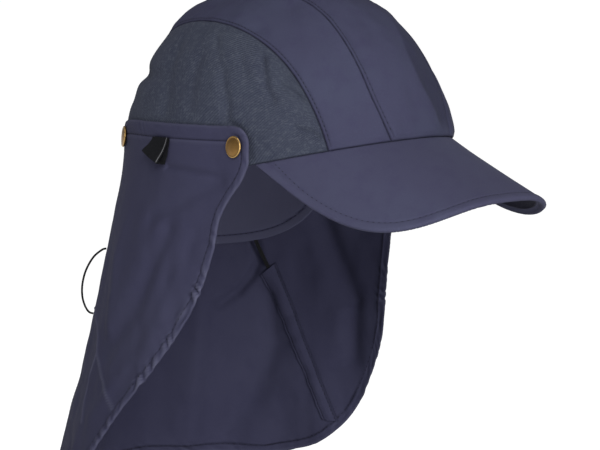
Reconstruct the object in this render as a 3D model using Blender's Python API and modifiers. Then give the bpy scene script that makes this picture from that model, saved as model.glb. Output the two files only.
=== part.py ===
"""Legionnaire cap: a peaked cap with a neck flap snapped round the outside of its crown.

Metres, +Z up. The peak points to -Y and the wearer's right is -X. The origin is the middle of the
head opening at the height of the rim. The crown is a stretched ball, cut into panels along its seams.
"""
import math

import bmesh
import bpy
from mathutils import Vector

# Crown
CROWN_HALF_WIDTH = 0.081
CROWN_HALF_LENGTH = 0.100
CROWN_HEIGHT = 0.0995
CROWN_WALL = 0.0015
RIM_DROP = 0.002            # the rim at the sides and back, below the origin
RIM_FRONT_RISE = 0.0155     # how much higher the rim is at the middle of the front
RIM_RISE_START = 0.030      # the rim begins to rise this far in front of the origin
SEAM_GAP = 0.0003
STRIP_HALF_WIDTH = 0.0255   # half the centre strip's width at the front rim
SMOOTH_HALF_WIDTH = 0.0575  # half the smooth cloth's width at its widest, out to the side panels
SMOOTH_FOOT_INSET = 0.0027  # how much narrower it is at the front rim
TONGUE_START = 40.0         # degrees over the top from the front, where the tongue begins to narrow
TONGUE_END = 142.0          # degrees over the top, where its round end meets the centre back seam
TONGUE_ROUND = 2.6
GUSSET_TIP = 0.0012         # width left at the gusset's back end
CREASE_DEPTH = 0.0032       # the deepest crease in the side panels

# Peak
PEAK_REACH = 0.114          # from the corners forward to the front edge
PEAK_ROUND = 3.1            # 2 would be an oval front edge; more is squarer
PEAK_WALL = 0.0030
PEAK_SLOPE = 0.596          # rise towards the head along the middle
PEAK_ARCH = 0.0513          # how much higher the middle is than the two sides
PEAK_ARCH_POWER = 3.0       # 2 would be an even arch; more is flatter in the middle
PEAK_CORNER_ANGLE = 66.5    # degrees from the front, where the peak's corners meet the crown
PEAK_SWELL = 0.25           # share of the arch's swell between the rim and the front edge
PEAK_SEAM_GAP = 0.0004
PEAK_TUCK = 0.0008          # how far the peak reaches in under the rim
PEAK_TIP = 0.0012           # width of the peak's two pointed corners

# Neck flap
FLAP_WALL = 0.0012
HEM_WALL = 0.0018
FLAP_CLEARANCE = 0.0004     # between the crown and the flap
FLAP_DROP = 0.192           # from the rim to the bottom hem
FLAP_TOP = 0.020            # how far the flap reaches up the crown at the sides
FLAP_BACK_SHARE = 0.72      # how far it reaches up at the back, as a share of that
FLAP_DIP_START = 15.0       # degrees from the back where the top edge begins to rise
FLAP_DIP_END = 60.0
FLAP_CORNER = 0.010         # radius of the flap's upper front corners
SIDE_HEM = 0.0050
TOP_HEM = 0.0080
FLARE = 0.042               # how far the bottom hem stands out from the crown, where it does most
FLARE_CURL = 0.25           # share of the flare that comes only low down, so the hem curls out
FLARE_EARLY = 0.6           # share of the flare that counts right under the rim
FLARE_EASE_END = 0.2        # depth share from which all of it counts
FOLD_HEIGHT = 0.007
FRONT_LIFT = 0.0022         # how far the flap's front edges stand off the crown
LIFT_WIDTH = 14.0           # degrees behind the edge where that begins

# Nape panel
NAPE_WALL = 0.0012
NAPE_DROP = 0.0585
NAPE_HALF_ANGLE = 73.0
NAPE_LEAN = 0.003           # how far its lower edge leans in to the neck
NAPE_SEAM_GAP = 0.0003

# Casings for the cord
CASING_WIDTH = 0.0115
CASING_WALL = 0.0011
CASING_CLEARANCE = 0.0006
CASING_TOP_DEGREES = 50.5
CASING_TOP_SHARE = 0.40     # of the flap's drop
CASING_END_SHARE = 0.83
CASING_EDGE_DEGREES = 8.0   # from the casing's lower end to the flap's front edge

# Snaps and label
SNAP_RADIUS = 0.0061
SNAP_HEIGHT = 0.0026
SNAP_CLEARANCE = 0.0003
SNAP_EDGE_SHARE = 0.22      # height of the rolled edge, as a share of the snap's height
SNAP_FOOT_SHARE = 0.94      # radius of its flat back, as a share of the snap's radius
SNAP_DOME_ROWS = 5
SNAP_STEPS = 20
SNAP_BELOW_TOP = 0.0110     # snap centre below the flap's top edge
SNAP_FROM_EDGE = 0.0082     # front snap's centre from the flap's front edge
BACK_SNAP_ANGLE = 42.0
LABEL_WIDTH = 0.0120
LABEL_LENGTH = 0.0150
LABEL_WALL = 0.0012
LABEL_ANGLE = 72.0          # degrees from the back, on the right side
LABEL_TILT = 14.0
LABEL_LIFT = 0.0045         # how far its lower end stands off the flap
LABEL_CLEARANCE = 0.0004

# Cords
CORD_DIAMETER = 0.0024
BACK_CORD_DIAMETER = 0.0016
CORD_POINTS = 19
CORD_ROUTE_BACK = (
    (-0.0537, 0.0916, -0.0560),
    (-0.0553, 0.0935, -0.0568),
    (-0.0585, 0.0973, -0.0610),
    (-0.0613, 0.1006, -0.0685),
    (-0.0627, 0.1022, -0.0765),
    (-0.0628, 0.1023, -0.0835),
    (-0.0619, 0.1012, -0.0890),
    (-0.0604, 0.0995, -0.0927),
    (-0.0587, 0.0975, -0.0937),
)
CORD_ROUTE_INNER = (
    (0.0521, 0.0756, -0.0440),
    (0.0537, 0.0735, -0.0500),
    (0.0553, 0.0711, -0.0560),
    (0.0582, 0.0698, -0.0620),
    (0.0615, 0.0684, -0.0680),
    (0.0638, 0.0670, -0.0730),
    (0.0650, 0.0660, -0.0756),
)

# Steps along the edge between the smooth cloth and the side panels: up from the front rim, along the
# gusset, and round the end of the centre strip
FOOT_STEPS = 12
GUSSET_STEPS = 15
END_STEPS = 5

# Half the centre strip's width over the top, as shares of its width at the front rim
STRIP_WIDTHS = (
    # degrees over the top, width share
    (6.0, 1.00),
    (14.0, 1.14),
    (25.0, 1.25),
    (42.0, 1.22),
    (62.0, 1.10),
    (90.0, 1.04),
    (134.0, 0.80),
)

# The flap's front edges: how far back they are at each depth, in degrees from the centre back
FRONT_EDGE = (
    # depth share of the drop, right side, left side
    (0.00, 110.5, 108.5),
    (0.24, 99.0, 97.0),
    (0.43, 92.6, 94.5),
    (0.60, 82.0, 92.3),
    (0.72, 72.0, 87.5),
    (0.82, 65.0, 80.5),
    (0.90, 59.5, 70.5),
    (0.96, 51.0, 60.5),
    (1.00, 38.0, 44.0),
)

# How far the hem stands out round the cap, as shares of FLARE
FLARE_SHARES = (
    # degrees from the centre back, left side positive; share at the hem
    (-115.0, 0.56),
    (-90.0, 0.65),
    (-60.0, 0.88),
    (-35.0, 1.00),
    (0.0, 0.84),
    (35.0, 0.50),
    (65.0, 0.18),
    (90.0, 0.02),
    (115.0, -0.04),
)

# Folds in the flap: each is a ridge, or a valley where its height is negative
FLAP_FOLDS = (
    # degrees from the back, degrees it leans by the hem, half-width in degrees,
    # height share of FOLD_HEIGHT, depth share where it starts
    (-52.0, 10.0, 9.0, -0.55, 0.45),
    (-30.0, 4.0, 8.0, 0.60, 0.50),
    (-14.0, 0.0, 9.0, -0.90, 0.20),
    (10.0, 4.0, 9.0, 0.80, 0.25),
    (28.0, -12.0, 7.0, -0.80, 0.30),
    (60.0, 8.0, 10.0, -0.50, 0.22),
    (80.0, 4.0, 9.0, 0.45, 0.30),
    (-84.0, 16.0, 10.0, 0.45, 0.30),
)

# Creases in the crown's sides
CROWN_CREASES = (
    # degrees from the back, height share of the crown, half-width in degrees,
    # half-height share, depth share of CREASE_DEPTH
    (40.0, 0.45, 26.0, 0.045, 1.00),
    (30.0, 0.30, 22.0, 0.040, 0.75),
    (78.0, 0.36, 14.0, 0.060, 0.45),
)


def blend(table, at, column=1):
    """Value of a table at a place between its rows, on a smooth curve through them."""
    if at <= table[0][0]:
        return table[0][column]
    if at >= table[-1][0]:
        return table[-1][column]
    row = max(i for i in range(len(table) - 1) if table[i][0] <= at)
    before, after = table[row], table[row + 1]
    span = after[0] - before[0]
    share = (at - before[0]) / span

    def slope(i):
        low, high = table[max(i - 1, 0)], table[min(i + 1, len(table) - 1)]
        return (high[column] - low[column]) / (high[0] - low[0])

    return ((2 * share ** 3 - 3 * share ** 2 + 1) * before[column]
            + (share ** 3 - 2 * share ** 2 + share) * span * slope(row)
            + (3 * share ** 2 - 2 * share ** 3) * after[column]
            + (share ** 3 - share ** 2) * span * slope(row + 1))


def smooth_step(value, low, high):
    share = min(max((value - low) / (high - low), 0.0), 1.0)
    return share * share * (3 - 2 * share)


# The crown's surface

def over_the_top(x, degrees):
    """Point of the crown at a given x and angle over the top: 0 is the front, 180 the back."""
    angle = math.radians(degrees)
    across = max(1 - (x / CROWN_HALF_WIDTH) ** 2, 0.0)
    reach = math.sqrt(across / ((math.cos(angle) / CROWN_HALF_LENGTH) ** 2
                                + (math.sin(angle) / CROWN_HEIGHT) ** 2))
    return Vector((x, -reach * math.cos(angle), reach * math.sin(angle)))


def round_the_side(degrees, height):
    """Point of the crown at a given height; 0 degrees is the centre back, +90 the left side."""
    angle = math.radians(degrees)
    level = math.sqrt(max(1 - (height / CROWN_HEIGHT) ** 2, 0.0))
    return Vector((CROWN_HALF_WIDTH * level * math.sin(angle),
                   CROWN_HALF_LENGTH * level * math.cos(angle), height))


def crown_normal(point):
    return Vector((point.x / CROWN_HALF_WIDTH ** 2, point.y / CROWN_HALF_LENGTH ** 2,
                   point.z / CROWN_HEIGHT ** 2)).normalized()


def onto_crown(point):
    """The point moved straight out from the crown's middle until it lies on the surface."""
    reach = math.sqrt((point.x / CROWN_HALF_WIDTH) ** 2 + (point.y / CROWN_HALF_LENGTH) ** 2
                      + (point.z / CROWN_HEIGHT) ** 2)
    return point / reach


def creased(point):
    """The crown's surface with the creases of its sides pressed in."""
    degrees = math.degrees(math.atan2(abs(point.x) / CROWN_HALF_WIDTH, point.y / CROWN_HALF_LENGTH))
    depth = 0.0
    for centre, height, half_width, half_height, share in CROWN_CREASES:
        along = (degrees - centre) / half_width
        up = (point.z / CROWN_HEIGHT - height) / half_height
        depth += CREASE_DEPTH * share * math.exp(-along * along - up * up)
    return point - crown_normal(point) * depth


def rim_height(y):
    rise = min(max((-y - RIM_RISE_START) / (CROWN_HALF_LENGTH - RIM_RISE_START), 0.0), 1.0)
    return RIM_FRONT_RISE * rise - RIM_DROP


def rim_point(degrees):
    """Point of the rim; 0 degrees is the centre back and 180 the middle of the front."""
    return round_the_side(degrees, rim_height(CROWN_HALF_LENGTH * math.cos(math.radians(degrees))))


def strip_half_width(degrees):
    return STRIP_HALF_WIDTH * blend(STRIP_WIDTHS, degrees)


def rim_degrees(x):
    """Where the front rim lies, over the top, at a given x."""
    level = 1.0
    for _ in range(4):
        turn = math.asin(min(abs(x) / (CROWN_HALF_WIDTH * level), 1.0))
        height = rim_height(-CROWN_HALF_LENGTH * math.cos(turn))
        level = math.sqrt(1 - (height / CROWN_HEIGHT) ** 2)
    return math.degrees(math.atan2(height, CROWN_HALF_LENGTH * level * math.cos(turn)))


def tongue_degrees(x, margin):
    """Where the smooth cloth's round tongue ends, over the top, at a given x."""
    share = min(abs(x) / (SMOOTH_HALF_WIDTH + margin), 1.0)
    reach = TONGUE_END - TONGUE_START + math.degrees(margin / CROWN_HEIGHT)
    return TONGUE_START + reach * (1 - share ** TONGUE_ROUND) ** (1 / TONGUE_ROUND)


def tongue_edge(step, margin):
    """The smooth cloth's edge as x and degrees over the top, moved outwards by a margin.

    Its steps run up from the front rim, then along the gusset to its tip, and then round the end of
    the centre strip. The panels on both sides of the edge share them, so their facets stay parallel.
    """
    widest = SMOOTH_HALF_WIDTH + margin
    if step <= FOOT_STEPS:
        up = step / FOOT_STEPS
        foot = widest - SMOOTH_FOOT_INSET
        start = rim_degrees(foot)
        return foot + SMOOTH_FOOT_INSET * up * (2 - up), start + (TONGUE_START - start) * up
    reach = TONGUE_END - TONGUE_START + math.degrees(margin / CROWN_HEIGHT)
    tip_x = strip_half_width(TONGUE_END) + GUSSET_TIP + margin
    tip_turn = math.atan2((tongue_degrees(tip_x, margin) - TONGUE_START) / reach, tip_x / widest)
    if step <= FOOT_STEPS + GUSSET_STEPS:
        turn = tip_turn * (step - FOOT_STEPS) / GUSSET_STEPS
        across, along = math.cos(turn), math.sin(turn)
        scale = (across ** TONGUE_ROUND + along ** TONGUE_ROUND) ** (-1 / TONGUE_ROUND)
        return widest * across * scale, TONGUE_START + reach * along * scale
    x = tip_x * (1 - (step - FOOT_STEPS - GUSSET_STEPS) / END_STEPS)
    return x, tongue_degrees(x, margin)


# The flap's surface

def flap_top(degrees):
    """Height of the flap's upper edge: a little lower at the back than at the sides."""
    rise = smooth_step(abs(degrees), FLAP_DIP_START, FLAP_DIP_END)
    return FLAP_TOP * (FLAP_BACK_SHARE + (1 - FLAP_BACK_SHARE) * rise)


def front_edge_degrees(height, side):
    """How far round the flap's front edge is at a height; side is +1 on the left."""
    column = 2 if side > 0 else 1
    edge = blend(FRONT_EDGE, max(-height, 0.0) / FLAP_DROP, column)
    corner_start = FLAP_TOP - FLAP_CORNER
    if height > corner_start:
        up = min((height - corner_start) / FLAP_CORNER, 1.0)
        round_off = FLAP_CORNER * (1 - math.sqrt(1 - up * up))
        edge -= math.degrees(round_off / CROWN_HALF_LENGTH)
    return edge


def flap_fold(degrees, share):
    """How far the flap stands out in its folds; share is the depth as a share of the drop."""
    total = 0.0
    for centre, lean, half_width, height, start in FLAP_FOLDS:
        along = (degrees - centre - lean * share) / half_width
        total += height * math.exp(-along * along) * smooth_step(share, start, 1.0)
    return FOLD_HEIGHT * total


def flap_point(degrees, height):
    """Point of the flap's inner face at a height above the rim, negative below it."""
    on_crown = round_the_side(degrees, max(height, 0.0))
    out = crown_normal(on_crown)
    edge = FRONT_EDGE[0][2 if degrees > 0 else 1]
    lift = FRONT_LIFT * smooth_step(abs(degrees), edge - LIFT_WIDTH, edge)
    point = on_crown + out * (FLAP_CLEARANCE + lift)
    if height >= 0:
        return point
    share = -height / FLAP_DROP
    flare = FLARE * blend(FLARE_SHARES, degrees) * share * (1 - FLARE_CURL + FLARE_CURL * share)
    ease = FLARE_EARLY + (1 - FLARE_EARLY) * smooth_step(share, 0.0, FLARE_EASE_END)
    stand_off = flare * ease + flap_fold(degrees, share)
    level = Vector((out.x, out.y, 0.0)).normalized()
    return Vector((point.x, point.y, height)) + level * stand_off


def flap_normal(degrees, height):
    """Outward direction of the flap, from its slope both ways."""
    round_step, down_step = 0.5, 0.0005
    across = flap_point(degrees + round_step, height) - flap_point(degrees - round_step, height)
    down = flap_point(degrees, height - down_step) - flap_point(degrees, height + down_step)
    return across.cross(down).normalized()


# Turning surfaces into pieces

def new_material(name, colour, roughness, metallic=0.0):
    material = bpy.data.materials.new(name)
    material.use_nodes = True
    shader = material.node_tree.nodes["Principled BSDF"]
    shader.inputs["Base Color"].default_value = (*colour, 1.0)
    shader.inputs["Roughness"].default_value = roughness
    shader.inputs["Metallic"].default_value = metallic
    return material


def add_object(name, data, material):
    piece = bpy.data.objects.new(name, data)
    piece.data.materials.append(material)
    collection.objects.link(piece)
    return piece


def cloth(name, material, point_at, columns, rows, wall, outwards=False, wall_share=None):
    """Sheet bent to point_at(u, v), with its wall grown towards the head or away from it."""
    mesh = bpy.data.meshes.new(name)
    sheet = bmesh.new()
    bmesh.ops.create_grid(sheet, x_segments=columns, y_segments=rows, size=0.5)
    shares = []
    for vertex in sheet.verts:
        u, v = vertex.co.x + 0.5, vertex.co.y + 0.5
        shares.append(wall_share(u, v) if wall_share else 1.0)
        vertex.co = point_at(u, v)
    sheet.normal_update()
    facing = sum(face.normal.dot(crown_normal(face.calc_center_median())) for face in sheet.faces)
    if facing < 0:
        bmesh.ops.reverse_faces(sheet, faces=sheet.faces)
    sheet.to_mesh(mesh)
    sheet.free()
    piece = add_object(name, mesh, material)
    solidify = piece.modifiers.new("wall", "SOLIDIFY")
    solidify.thickness = wall
    solidify.offset = 1.0 if outwards else -1.0
    if wall_share:
        group = piece.vertex_groups.new(name="wall_share")
        for index, share in enumerate(shares):
            group.add([index], share, "REPLACE")
        solidify.vertex_group = group.name
    return piece


def tube(name, material, route, diameter):
    """Round cord along a smooth curve through the points of its route."""
    curve = bpy.data.curves.new(name, "CURVE")
    curve.dimensions = "3D"
    curve.bevel_depth = diameter / 2
    curve.bevel_resolution = 2
    curve.use_fill_caps = True
    spline = curve.splines.new("POLY")
    spline.points.add(CORD_POINTS - 1)
    rows = [(i, *place) for i, place in enumerate(route)]
    for i, point in enumerate(spline.points):
        at = i / (CORD_POINTS - 1) * (len(route) - 1)
        point.co = (*(blend(rows, at, column) for column in (1, 2, 3)), 1.0)
    return add_object(name, curve, material)


def turned(name, material, profile):
    """Solid turned about Z from a profile of radius and height, listed from the top down."""
    mesh = bpy.data.meshes.new(name)
    outline = bmesh.new()
    corners = [outline.verts.new((radius, 0.0, height)) for radius, height in profile]
    for start, end in zip(corners, corners[1:]):
        outline.edges.new((start, end))
    outline.to_mesh(mesh)
    outline.free()
    piece = add_object(name, mesh, material)
    screw = piece.modifiers.new("turn", "SCREW")
    screw.steps = screw.render_steps = SNAP_STEPS
    screw.use_merge_vertices = True
    screw.merge_threshold = 0.00001
    return piece


# The pieces

def build_centre_panel(material):
    def point_at(u, v):
        side = 2 * u - 1
        low = rim_degrees(side * strip_half_width(0.0))
        high = tongue_degrees(side * strip_half_width(TONGUE_END), -SEAM_GAP / 2)
        degrees = low + (high - low) * v
        return over_the_top(side * (strip_half_width(degrees) - SEAM_GAP / 2), degrees)

    cloth("crown_centre_panel", material, point_at, 2 * END_STEPS, 24, CROWN_WALL)


def build_gusset(name, material, side):
    """Wedge between the centre strip and the tongue's edge, narrow at the back."""
    steps = FOOT_STEPS + GUSSET_STEPS
    inner_start = rim_degrees(strip_half_width(0.0))
    inner_end = tongue_degrees(strip_half_width(TONGUE_END) + SEAM_GAP / 2, -SEAM_GAP / 2)
    outer_start = tongue_edge(0, -SEAM_GAP / 2)[1]
    outer_end = tongue_edge(steps, -SEAM_GAP / 2)[1]

    def point_at(u, v):
        outer_x, outer_degrees = tongue_edge(steps * v, -SEAM_GAP / 2)
        along = (outer_degrees - outer_start) / (outer_end - outer_start)
        inner_degrees = inner_start + (inner_end - inner_start) * along
        inner_x = strip_half_width(inner_degrees) + SEAM_GAP / 2
        x = inner_x + (outer_x - inner_x) * u
        degrees = inner_degrees + (outer_degrees - inner_degrees) * u
        if v == 0.0:
            degrees = rim_degrees(x)
        point = over_the_top(x, degrees)
        return Vector((side * point.x, point.y, point.z))

    cloth(name, material, point_at, 4, steps, CROWN_WALL)


def build_side_panel(name, material, side):
    """Four-sided panel: the rim below, the centre back seam, and the tongue's edge in front and above."""
    half_gap = SEAM_GAP / 2
    across_steps = GUSSET_STEPS + END_STEPS
    front_foot = over_the_top(*tongue_edge(0, half_gap))
    front_degrees = math.degrees(math.atan2(front_foot.x / CROWN_HALF_WIDTH,
                                            front_foot.y / CROWN_HALF_LENGTH))
    back_foot = rim_point(0.0)
    back_low = math.degrees(math.atan2(back_foot.z, -back_foot.y)) % 360.0
    back_high = tongue_edge(FOOT_STEPS + across_steps, half_gap)[1]

    def bottom(u):
        return rim_point(front_degrees * (1 - u))

    def top(u):
        return over_the_top(*tongue_edge(FOOT_STEPS + across_steps * u, half_gap))

    def front(v):
        return over_the_top(*tongue_edge(FOOT_STEPS * v, half_gap))

    def back(v):
        return over_the_top(0.0, back_low + (back_high - back_low) * v)

    def point_at(u, v):
        point = (bottom(u) * (1 - v) + top(u) * v + front(v) * (1 - u) + back(v) * u
                 - bottom(0) * (1 - u) * (1 - v) - bottom(1) * u * (1 - v)
                 - top(0) * (1 - u) * v - top(1) * u * v)
        point = creased(onto_crown(point))
        return Vector((side * max(point.x, half_gap), point.y, point.z))

    cloth(name, material, point_at, across_steps, FOOT_STEPS, CROWN_WALL)


def build_peak(material):
    """Arched plate from under the front rim out to a rounded front edge."""
    corner = rim_point(180.0 - PEAK_CORNER_ANGLE)
    half_width = corner.x + PEAK_TIP

    def surface_height(x, y):
        return (corner.z - PEAK_SEAM_GAP - PEAK_SLOPE * (corner.y - y)
                + PEAK_ARCH * (1 - abs(x / half_width) ** PEAK_ARCH_POWER))

    def inner_edge(side):
        rim = rim_point(180.0 - side * PEAK_CORNER_ANGLE)
        out = crown_normal(rim)
        rim -= Vector((out.x, out.y, 0.0)) * PEAK_TUCK
        return Vector((rim.x, rim.y, rim.z - PEAK_SEAM_GAP))

    def outer_edge(side):
        turn = math.radians(90.0 * side)
        x = math.copysign(abs(math.sin(turn)) ** (2 / PEAK_ROUND), side) * half_width
        y = corner.y - PEAK_REACH * max(math.cos(turn), 0.0) ** (2 / PEAK_ROUND)
        return Vector((x, y, surface_height(x, y)))

    def point_at(u, v):
        side = 2 * u - 1
        inner, outer = inner_edge(side), outer_edge(side)
        point = inner.lerp(outer, v)
        straight = outer.z * v + surface_height(inner.x, inner.y) * (1 - v)
        point.z += PEAK_SWELL * (surface_height(point.x, point.y) - straight)
        return point

    cloth("peak", material, point_at, 26, 9, PEAK_WALL)


def hemmed(share, cells, hem_share):
    """Moves a grid line so that the first and last cells are as wide as a hem."""
    cell = 1 / cells
    if share < cell:
        return share / cell * hem_share
    if share > 1 - cell:
        return 1 - (1 - share) / cell * hem_share
    return hem_share + (share - cell) / (1 - 2 * cell) * (1 - 2 * hem_share)


def build_flap(material):
    columns, rows = 44, 20

    def point_at(u, v):
        down = hemmed(v, rows, TOP_HEM / (FLAP_TOP + FLAP_DROP))
        height = FLAP_TOP - (FLAP_TOP + FLAP_DROP) * down
        left = front_edge_degrees(height, 1)
        right = -front_edge_degrees(height, -1)
        hem_degrees = math.degrees(SIDE_HEM / CROWN_HALF_LENGTH)
        degrees = right + (left - right) * hemmed(u, columns, hem_degrees / (left - right))
        if height > 0:
            height *= flap_top(degrees) / FLAP_TOP
        return flap_point(degrees, height)

    def wall_share(u, v):
        in_hem = min(u, 1 - u) < 1.5 / columns or min(v, 1 - v) < 1.5 / rows
        return 1.0 if in_hem else FLAP_WALL / HEM_WALL

    cloth("neck_flap", material, point_at, columns, rows, HEM_WALL, True, wall_share)


def build_nape_panel(material):
    """Short panel hanging from the back rim inside the flap, deepest behind the neck."""
    power = 5
    end_share = 0.985
    half_angle = NAPE_HALF_ANGLE * end_share

    def point_at(u, v):
        degrees = half_angle * (2 * u - 1)
        depth = NAPE_DROP * math.sqrt(1 - abs(degrees / NAPE_HALF_ANGLE) ** power)
        top = rim_point(degrees)
        out = crown_normal(top)
        level = Vector((out.x, out.y, 0.0)).normalized()
        lean = NAPE_LEAN * (v * depth / NAPE_DROP)
        return Vector((top.x, top.y, top.z - NAPE_SEAM_GAP - depth * v)) - level * lean

    cloth("nape_panel", material, point_at, 30, 6, NAPE_WALL)


def build_casing(name, material, side):
    """Strip on the flap's inner face, running slantwise down and forward to the hem."""
    edge = front_edge_degrees(-FLAP_DROP * CASING_END_SHARE, side)
    end_degrees = edge - CASING_EDGE_DEGREES
    half_degrees = math.degrees(CASING_WIDTH / 2 / CROWN_HALF_LENGTH)

    def point_at(u, v):
        degrees = CASING_TOP_DEGREES + (end_degrees - CASING_TOP_DEGREES) * v + half_degrees * (2 * u - 1)
        height = -FLAP_DROP * (CASING_TOP_SHARE + (CASING_END_SHARE - CASING_TOP_SHARE) * v)
        inner_face = flap_point(side * degrees, height)
        return inner_face - flap_normal(side * degrees, height) * CASING_CLEARANCE

    cloth(name, material, point_at, 4, 14, CASING_WALL)


def snap_place(degrees, height):
    """Frame of a snap on the flap's outer face: its middle and its outward direction."""
    out = flap_normal(degrees, height)
    return flap_point(degrees, height) + out * (HEM_WALL + SNAP_CLEARANCE), out


def front_snap_degrees(side):
    edge = front_edge_degrees(FLAP_TOP - SNAP_BELOW_TOP, side)
    return side * (edge - math.degrees(SNAP_FROM_EDGE / CROWN_HALF_LENGTH))


def build_snap(name, material, degrees):
    """Domed cap with a rolled edge, flat behind."""
    profile = []
    for row in range(SNAP_DOME_ROWS + 1):
        turn = math.radians(90.0 * row / SNAP_DOME_ROWS)
        rise = SNAP_EDGE_SHARE + (1 - SNAP_EDGE_SHARE) * math.cos(turn)
        profile.append((SNAP_RADIUS * math.sin(turn), SNAP_HEIGHT * rise))
    profile += [(SNAP_RADIUS * SNAP_FOOT_SHARE, 0.0), (0.0, 0.0)]
    piece = turned(name, material, profile)
    place, out = snap_place(degrees, flap_top(degrees) - SNAP_BELOW_TOP)
    piece.location = place
    piece.rotation_euler = out.to_track_quat("Z", "Y").to_euler()


def build_label(material):
    """Small folded tab hanging from the top hem's stitching."""
    height = flap_top(-LABEL_ANGLE) - TOP_HEM
    top, out = snap_place(-LABEL_ANGLE, height)
    top += out * (LABEL_CLEARANCE - SNAP_CLEARANCE)
    down = Vector((0.0, 0.0, -1.0))
    along = out.cross(down).normalized()
    tilt = math.radians(LABEL_TILT)
    hang = (down * math.cos(tilt) + along * math.sin(tilt)).normalized()
    across = out.cross(hang).normalized()

    def point_at(u, v):
        lift = LABEL_LIFT * v * v
        return top + across * LABEL_WIDTH * (u - 0.5) + hang * LABEL_LENGTH * v + out * lift

    cloth("label_tab", material, point_at, 2, 4, LABEL_WALL, outwards=True)


def main():
    for old in list(bpy.data.objects):
        bpy.data.objects.remove(old)
    bpy.context.scene.collection.children.link(collection)

    smooth_cloth = new_material("smooth_cloth", (0.055, 0.058, 0.115), 0.75)
    side_cloth = new_material("side_cloth", (0.055, 0.065, 0.105), 0.85)
    peak_cloth = new_material("peak_cloth", (0.060, 0.063, 0.120), 0.70)
    brass = new_material("brass", (0.42, 0.27, 0.09), 0.38, 1.0)
    label_weave = new_material("label_weave", (0.012, 0.012, 0.014), 0.80)
    elastic = new_material("elastic", (0.03, 0.03, 0.035), 0.70)

    build_centre_panel(smooth_cloth)
    for word, side in (("right", -1), ("left", 1)):
        build_gusset("crown_gusset_" + word, smooth_cloth, side)
        build_side_panel("crown_side_panel_" + word, side_cloth, side)
        build_casing("casing_" + word, smooth_cloth, side)
        build_snap("snap_front_" + word, brass, front_snap_degrees(side))
        build_snap("snap_back_" + word, brass, side * BACK_SNAP_ANGLE)
        mirrored = [(side * x, y, z) for x, y, z in CORD_ROUTE_INNER]
        tube("cord_inner_" + word, elastic, mirrored, CORD_DIAMETER)
    build_peak(peak_cloth)
    build_flap(smooth_cloth)
    build_nape_panel(smooth_cloth)
    build_label(label_weave)
    tube("cord_back_loop", elastic, CORD_ROUTE_BACK, BACK_CORD_DIAMETER)


collection = bpy.data.collections.new("legionnaire_cap")
main()
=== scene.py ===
# %% [markdown]
# # A legionnaire cap, finished in Blender
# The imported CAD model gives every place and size: a crown of five panels, a stiff peak, and a flap
# of cloth that wraps round the outside of the crown and is held by four snaps. Its solids are plain.
# Here each of them gets a finer piece in the same place, with the hems, seams, creases, stitches and
# woven finishes of the real thing. Lengths are in metres, up is +Z, and the peak points to -Y.

# %% Load the frame and clear the selection
import math

import bmesh
import bpy
import numpy as np
from mathutils import Euler, Matrix, Vector, noise
from mathutils.bvhtree import BVHTree
from mathutils.kdtree import KDTree


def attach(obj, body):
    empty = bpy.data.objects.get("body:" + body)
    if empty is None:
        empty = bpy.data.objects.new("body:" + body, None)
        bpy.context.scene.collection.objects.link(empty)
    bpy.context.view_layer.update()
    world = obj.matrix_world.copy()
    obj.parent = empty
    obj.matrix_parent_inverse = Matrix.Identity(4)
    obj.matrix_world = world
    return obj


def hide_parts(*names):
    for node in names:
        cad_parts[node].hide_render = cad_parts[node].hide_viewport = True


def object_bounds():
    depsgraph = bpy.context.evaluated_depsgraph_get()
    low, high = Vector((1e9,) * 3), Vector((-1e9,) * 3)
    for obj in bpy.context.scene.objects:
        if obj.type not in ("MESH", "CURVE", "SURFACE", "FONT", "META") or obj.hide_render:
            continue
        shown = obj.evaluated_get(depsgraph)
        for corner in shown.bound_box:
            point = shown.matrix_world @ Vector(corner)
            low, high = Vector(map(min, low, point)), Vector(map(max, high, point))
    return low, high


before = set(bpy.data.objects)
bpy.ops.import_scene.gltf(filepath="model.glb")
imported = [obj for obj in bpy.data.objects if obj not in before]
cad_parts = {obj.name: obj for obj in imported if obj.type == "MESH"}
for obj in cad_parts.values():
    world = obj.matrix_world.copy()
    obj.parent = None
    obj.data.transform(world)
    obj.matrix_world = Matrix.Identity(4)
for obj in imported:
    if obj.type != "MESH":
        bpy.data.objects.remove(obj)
cad_low, cad_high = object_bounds()
bpy.ops.object.select_all(action="DESELECT")
print("CAD box in mm:", [round(1000 * (high - low)) for low, high in zip(cad_low, cad_high)])

# %% [markdown]
# ## Camera, floor and light
# The photograph was taken from the wearer's right front, a little above the peak, with a long lens.
# Angle, distance and lens come from fitting the crown's and the peak's edges. The lens is long, so
# both sides of the cap look about as near. The floor lies below the view, so no shadow is in sight,
# and large soft lights with a bright world give the even light of a product photograph. The floor
# glows, dimmer round the cap: a painted soft shadow there, which also gives less light from below.

# %% Camera
CAMERA_AZIMUTH = math.radians(-50.5)
CAMERA_ELEVATION = math.radians(5.7)
CAMERA_DISTANCE = 1.5
CAMERA_TARGET = Vector((0.0042, -0.0050, -0.0408))
LENS_MM = 158.4


def from_target(azimuth, elevation, distance):
    """A place round the cap. Azimuth 0 is straight in front of the peak."""
    level = math.cos(elevation)
    way = Vector((math.sin(azimuth) * level, -math.cos(azimuth) * level, math.sin(elevation)))
    return CAMERA_TARGET + way * distance


bpy.ops.object.camera_add(location=from_target(CAMERA_AZIMUTH, CAMERA_ELEVATION, CAMERA_DISTANCE))
camera = bpy.context.object
camera.name = "camera"
camera.rotation_mode = "QUATERNION"
camera.rotation_quaternion = (CAMERA_TARGET - camera.location).to_track_quat("-Z", "Y")
camera.data.lens = LENS_MM
camera.data.sensor_width = 36.0
bpy.context.scene.camera = camera
print("camera stands at", [round(x, 3) for x in camera.location])

# %% Floor, world and lights
FLOOR_BELOW = 0.12          # from the lowest hem down to the floor

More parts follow.
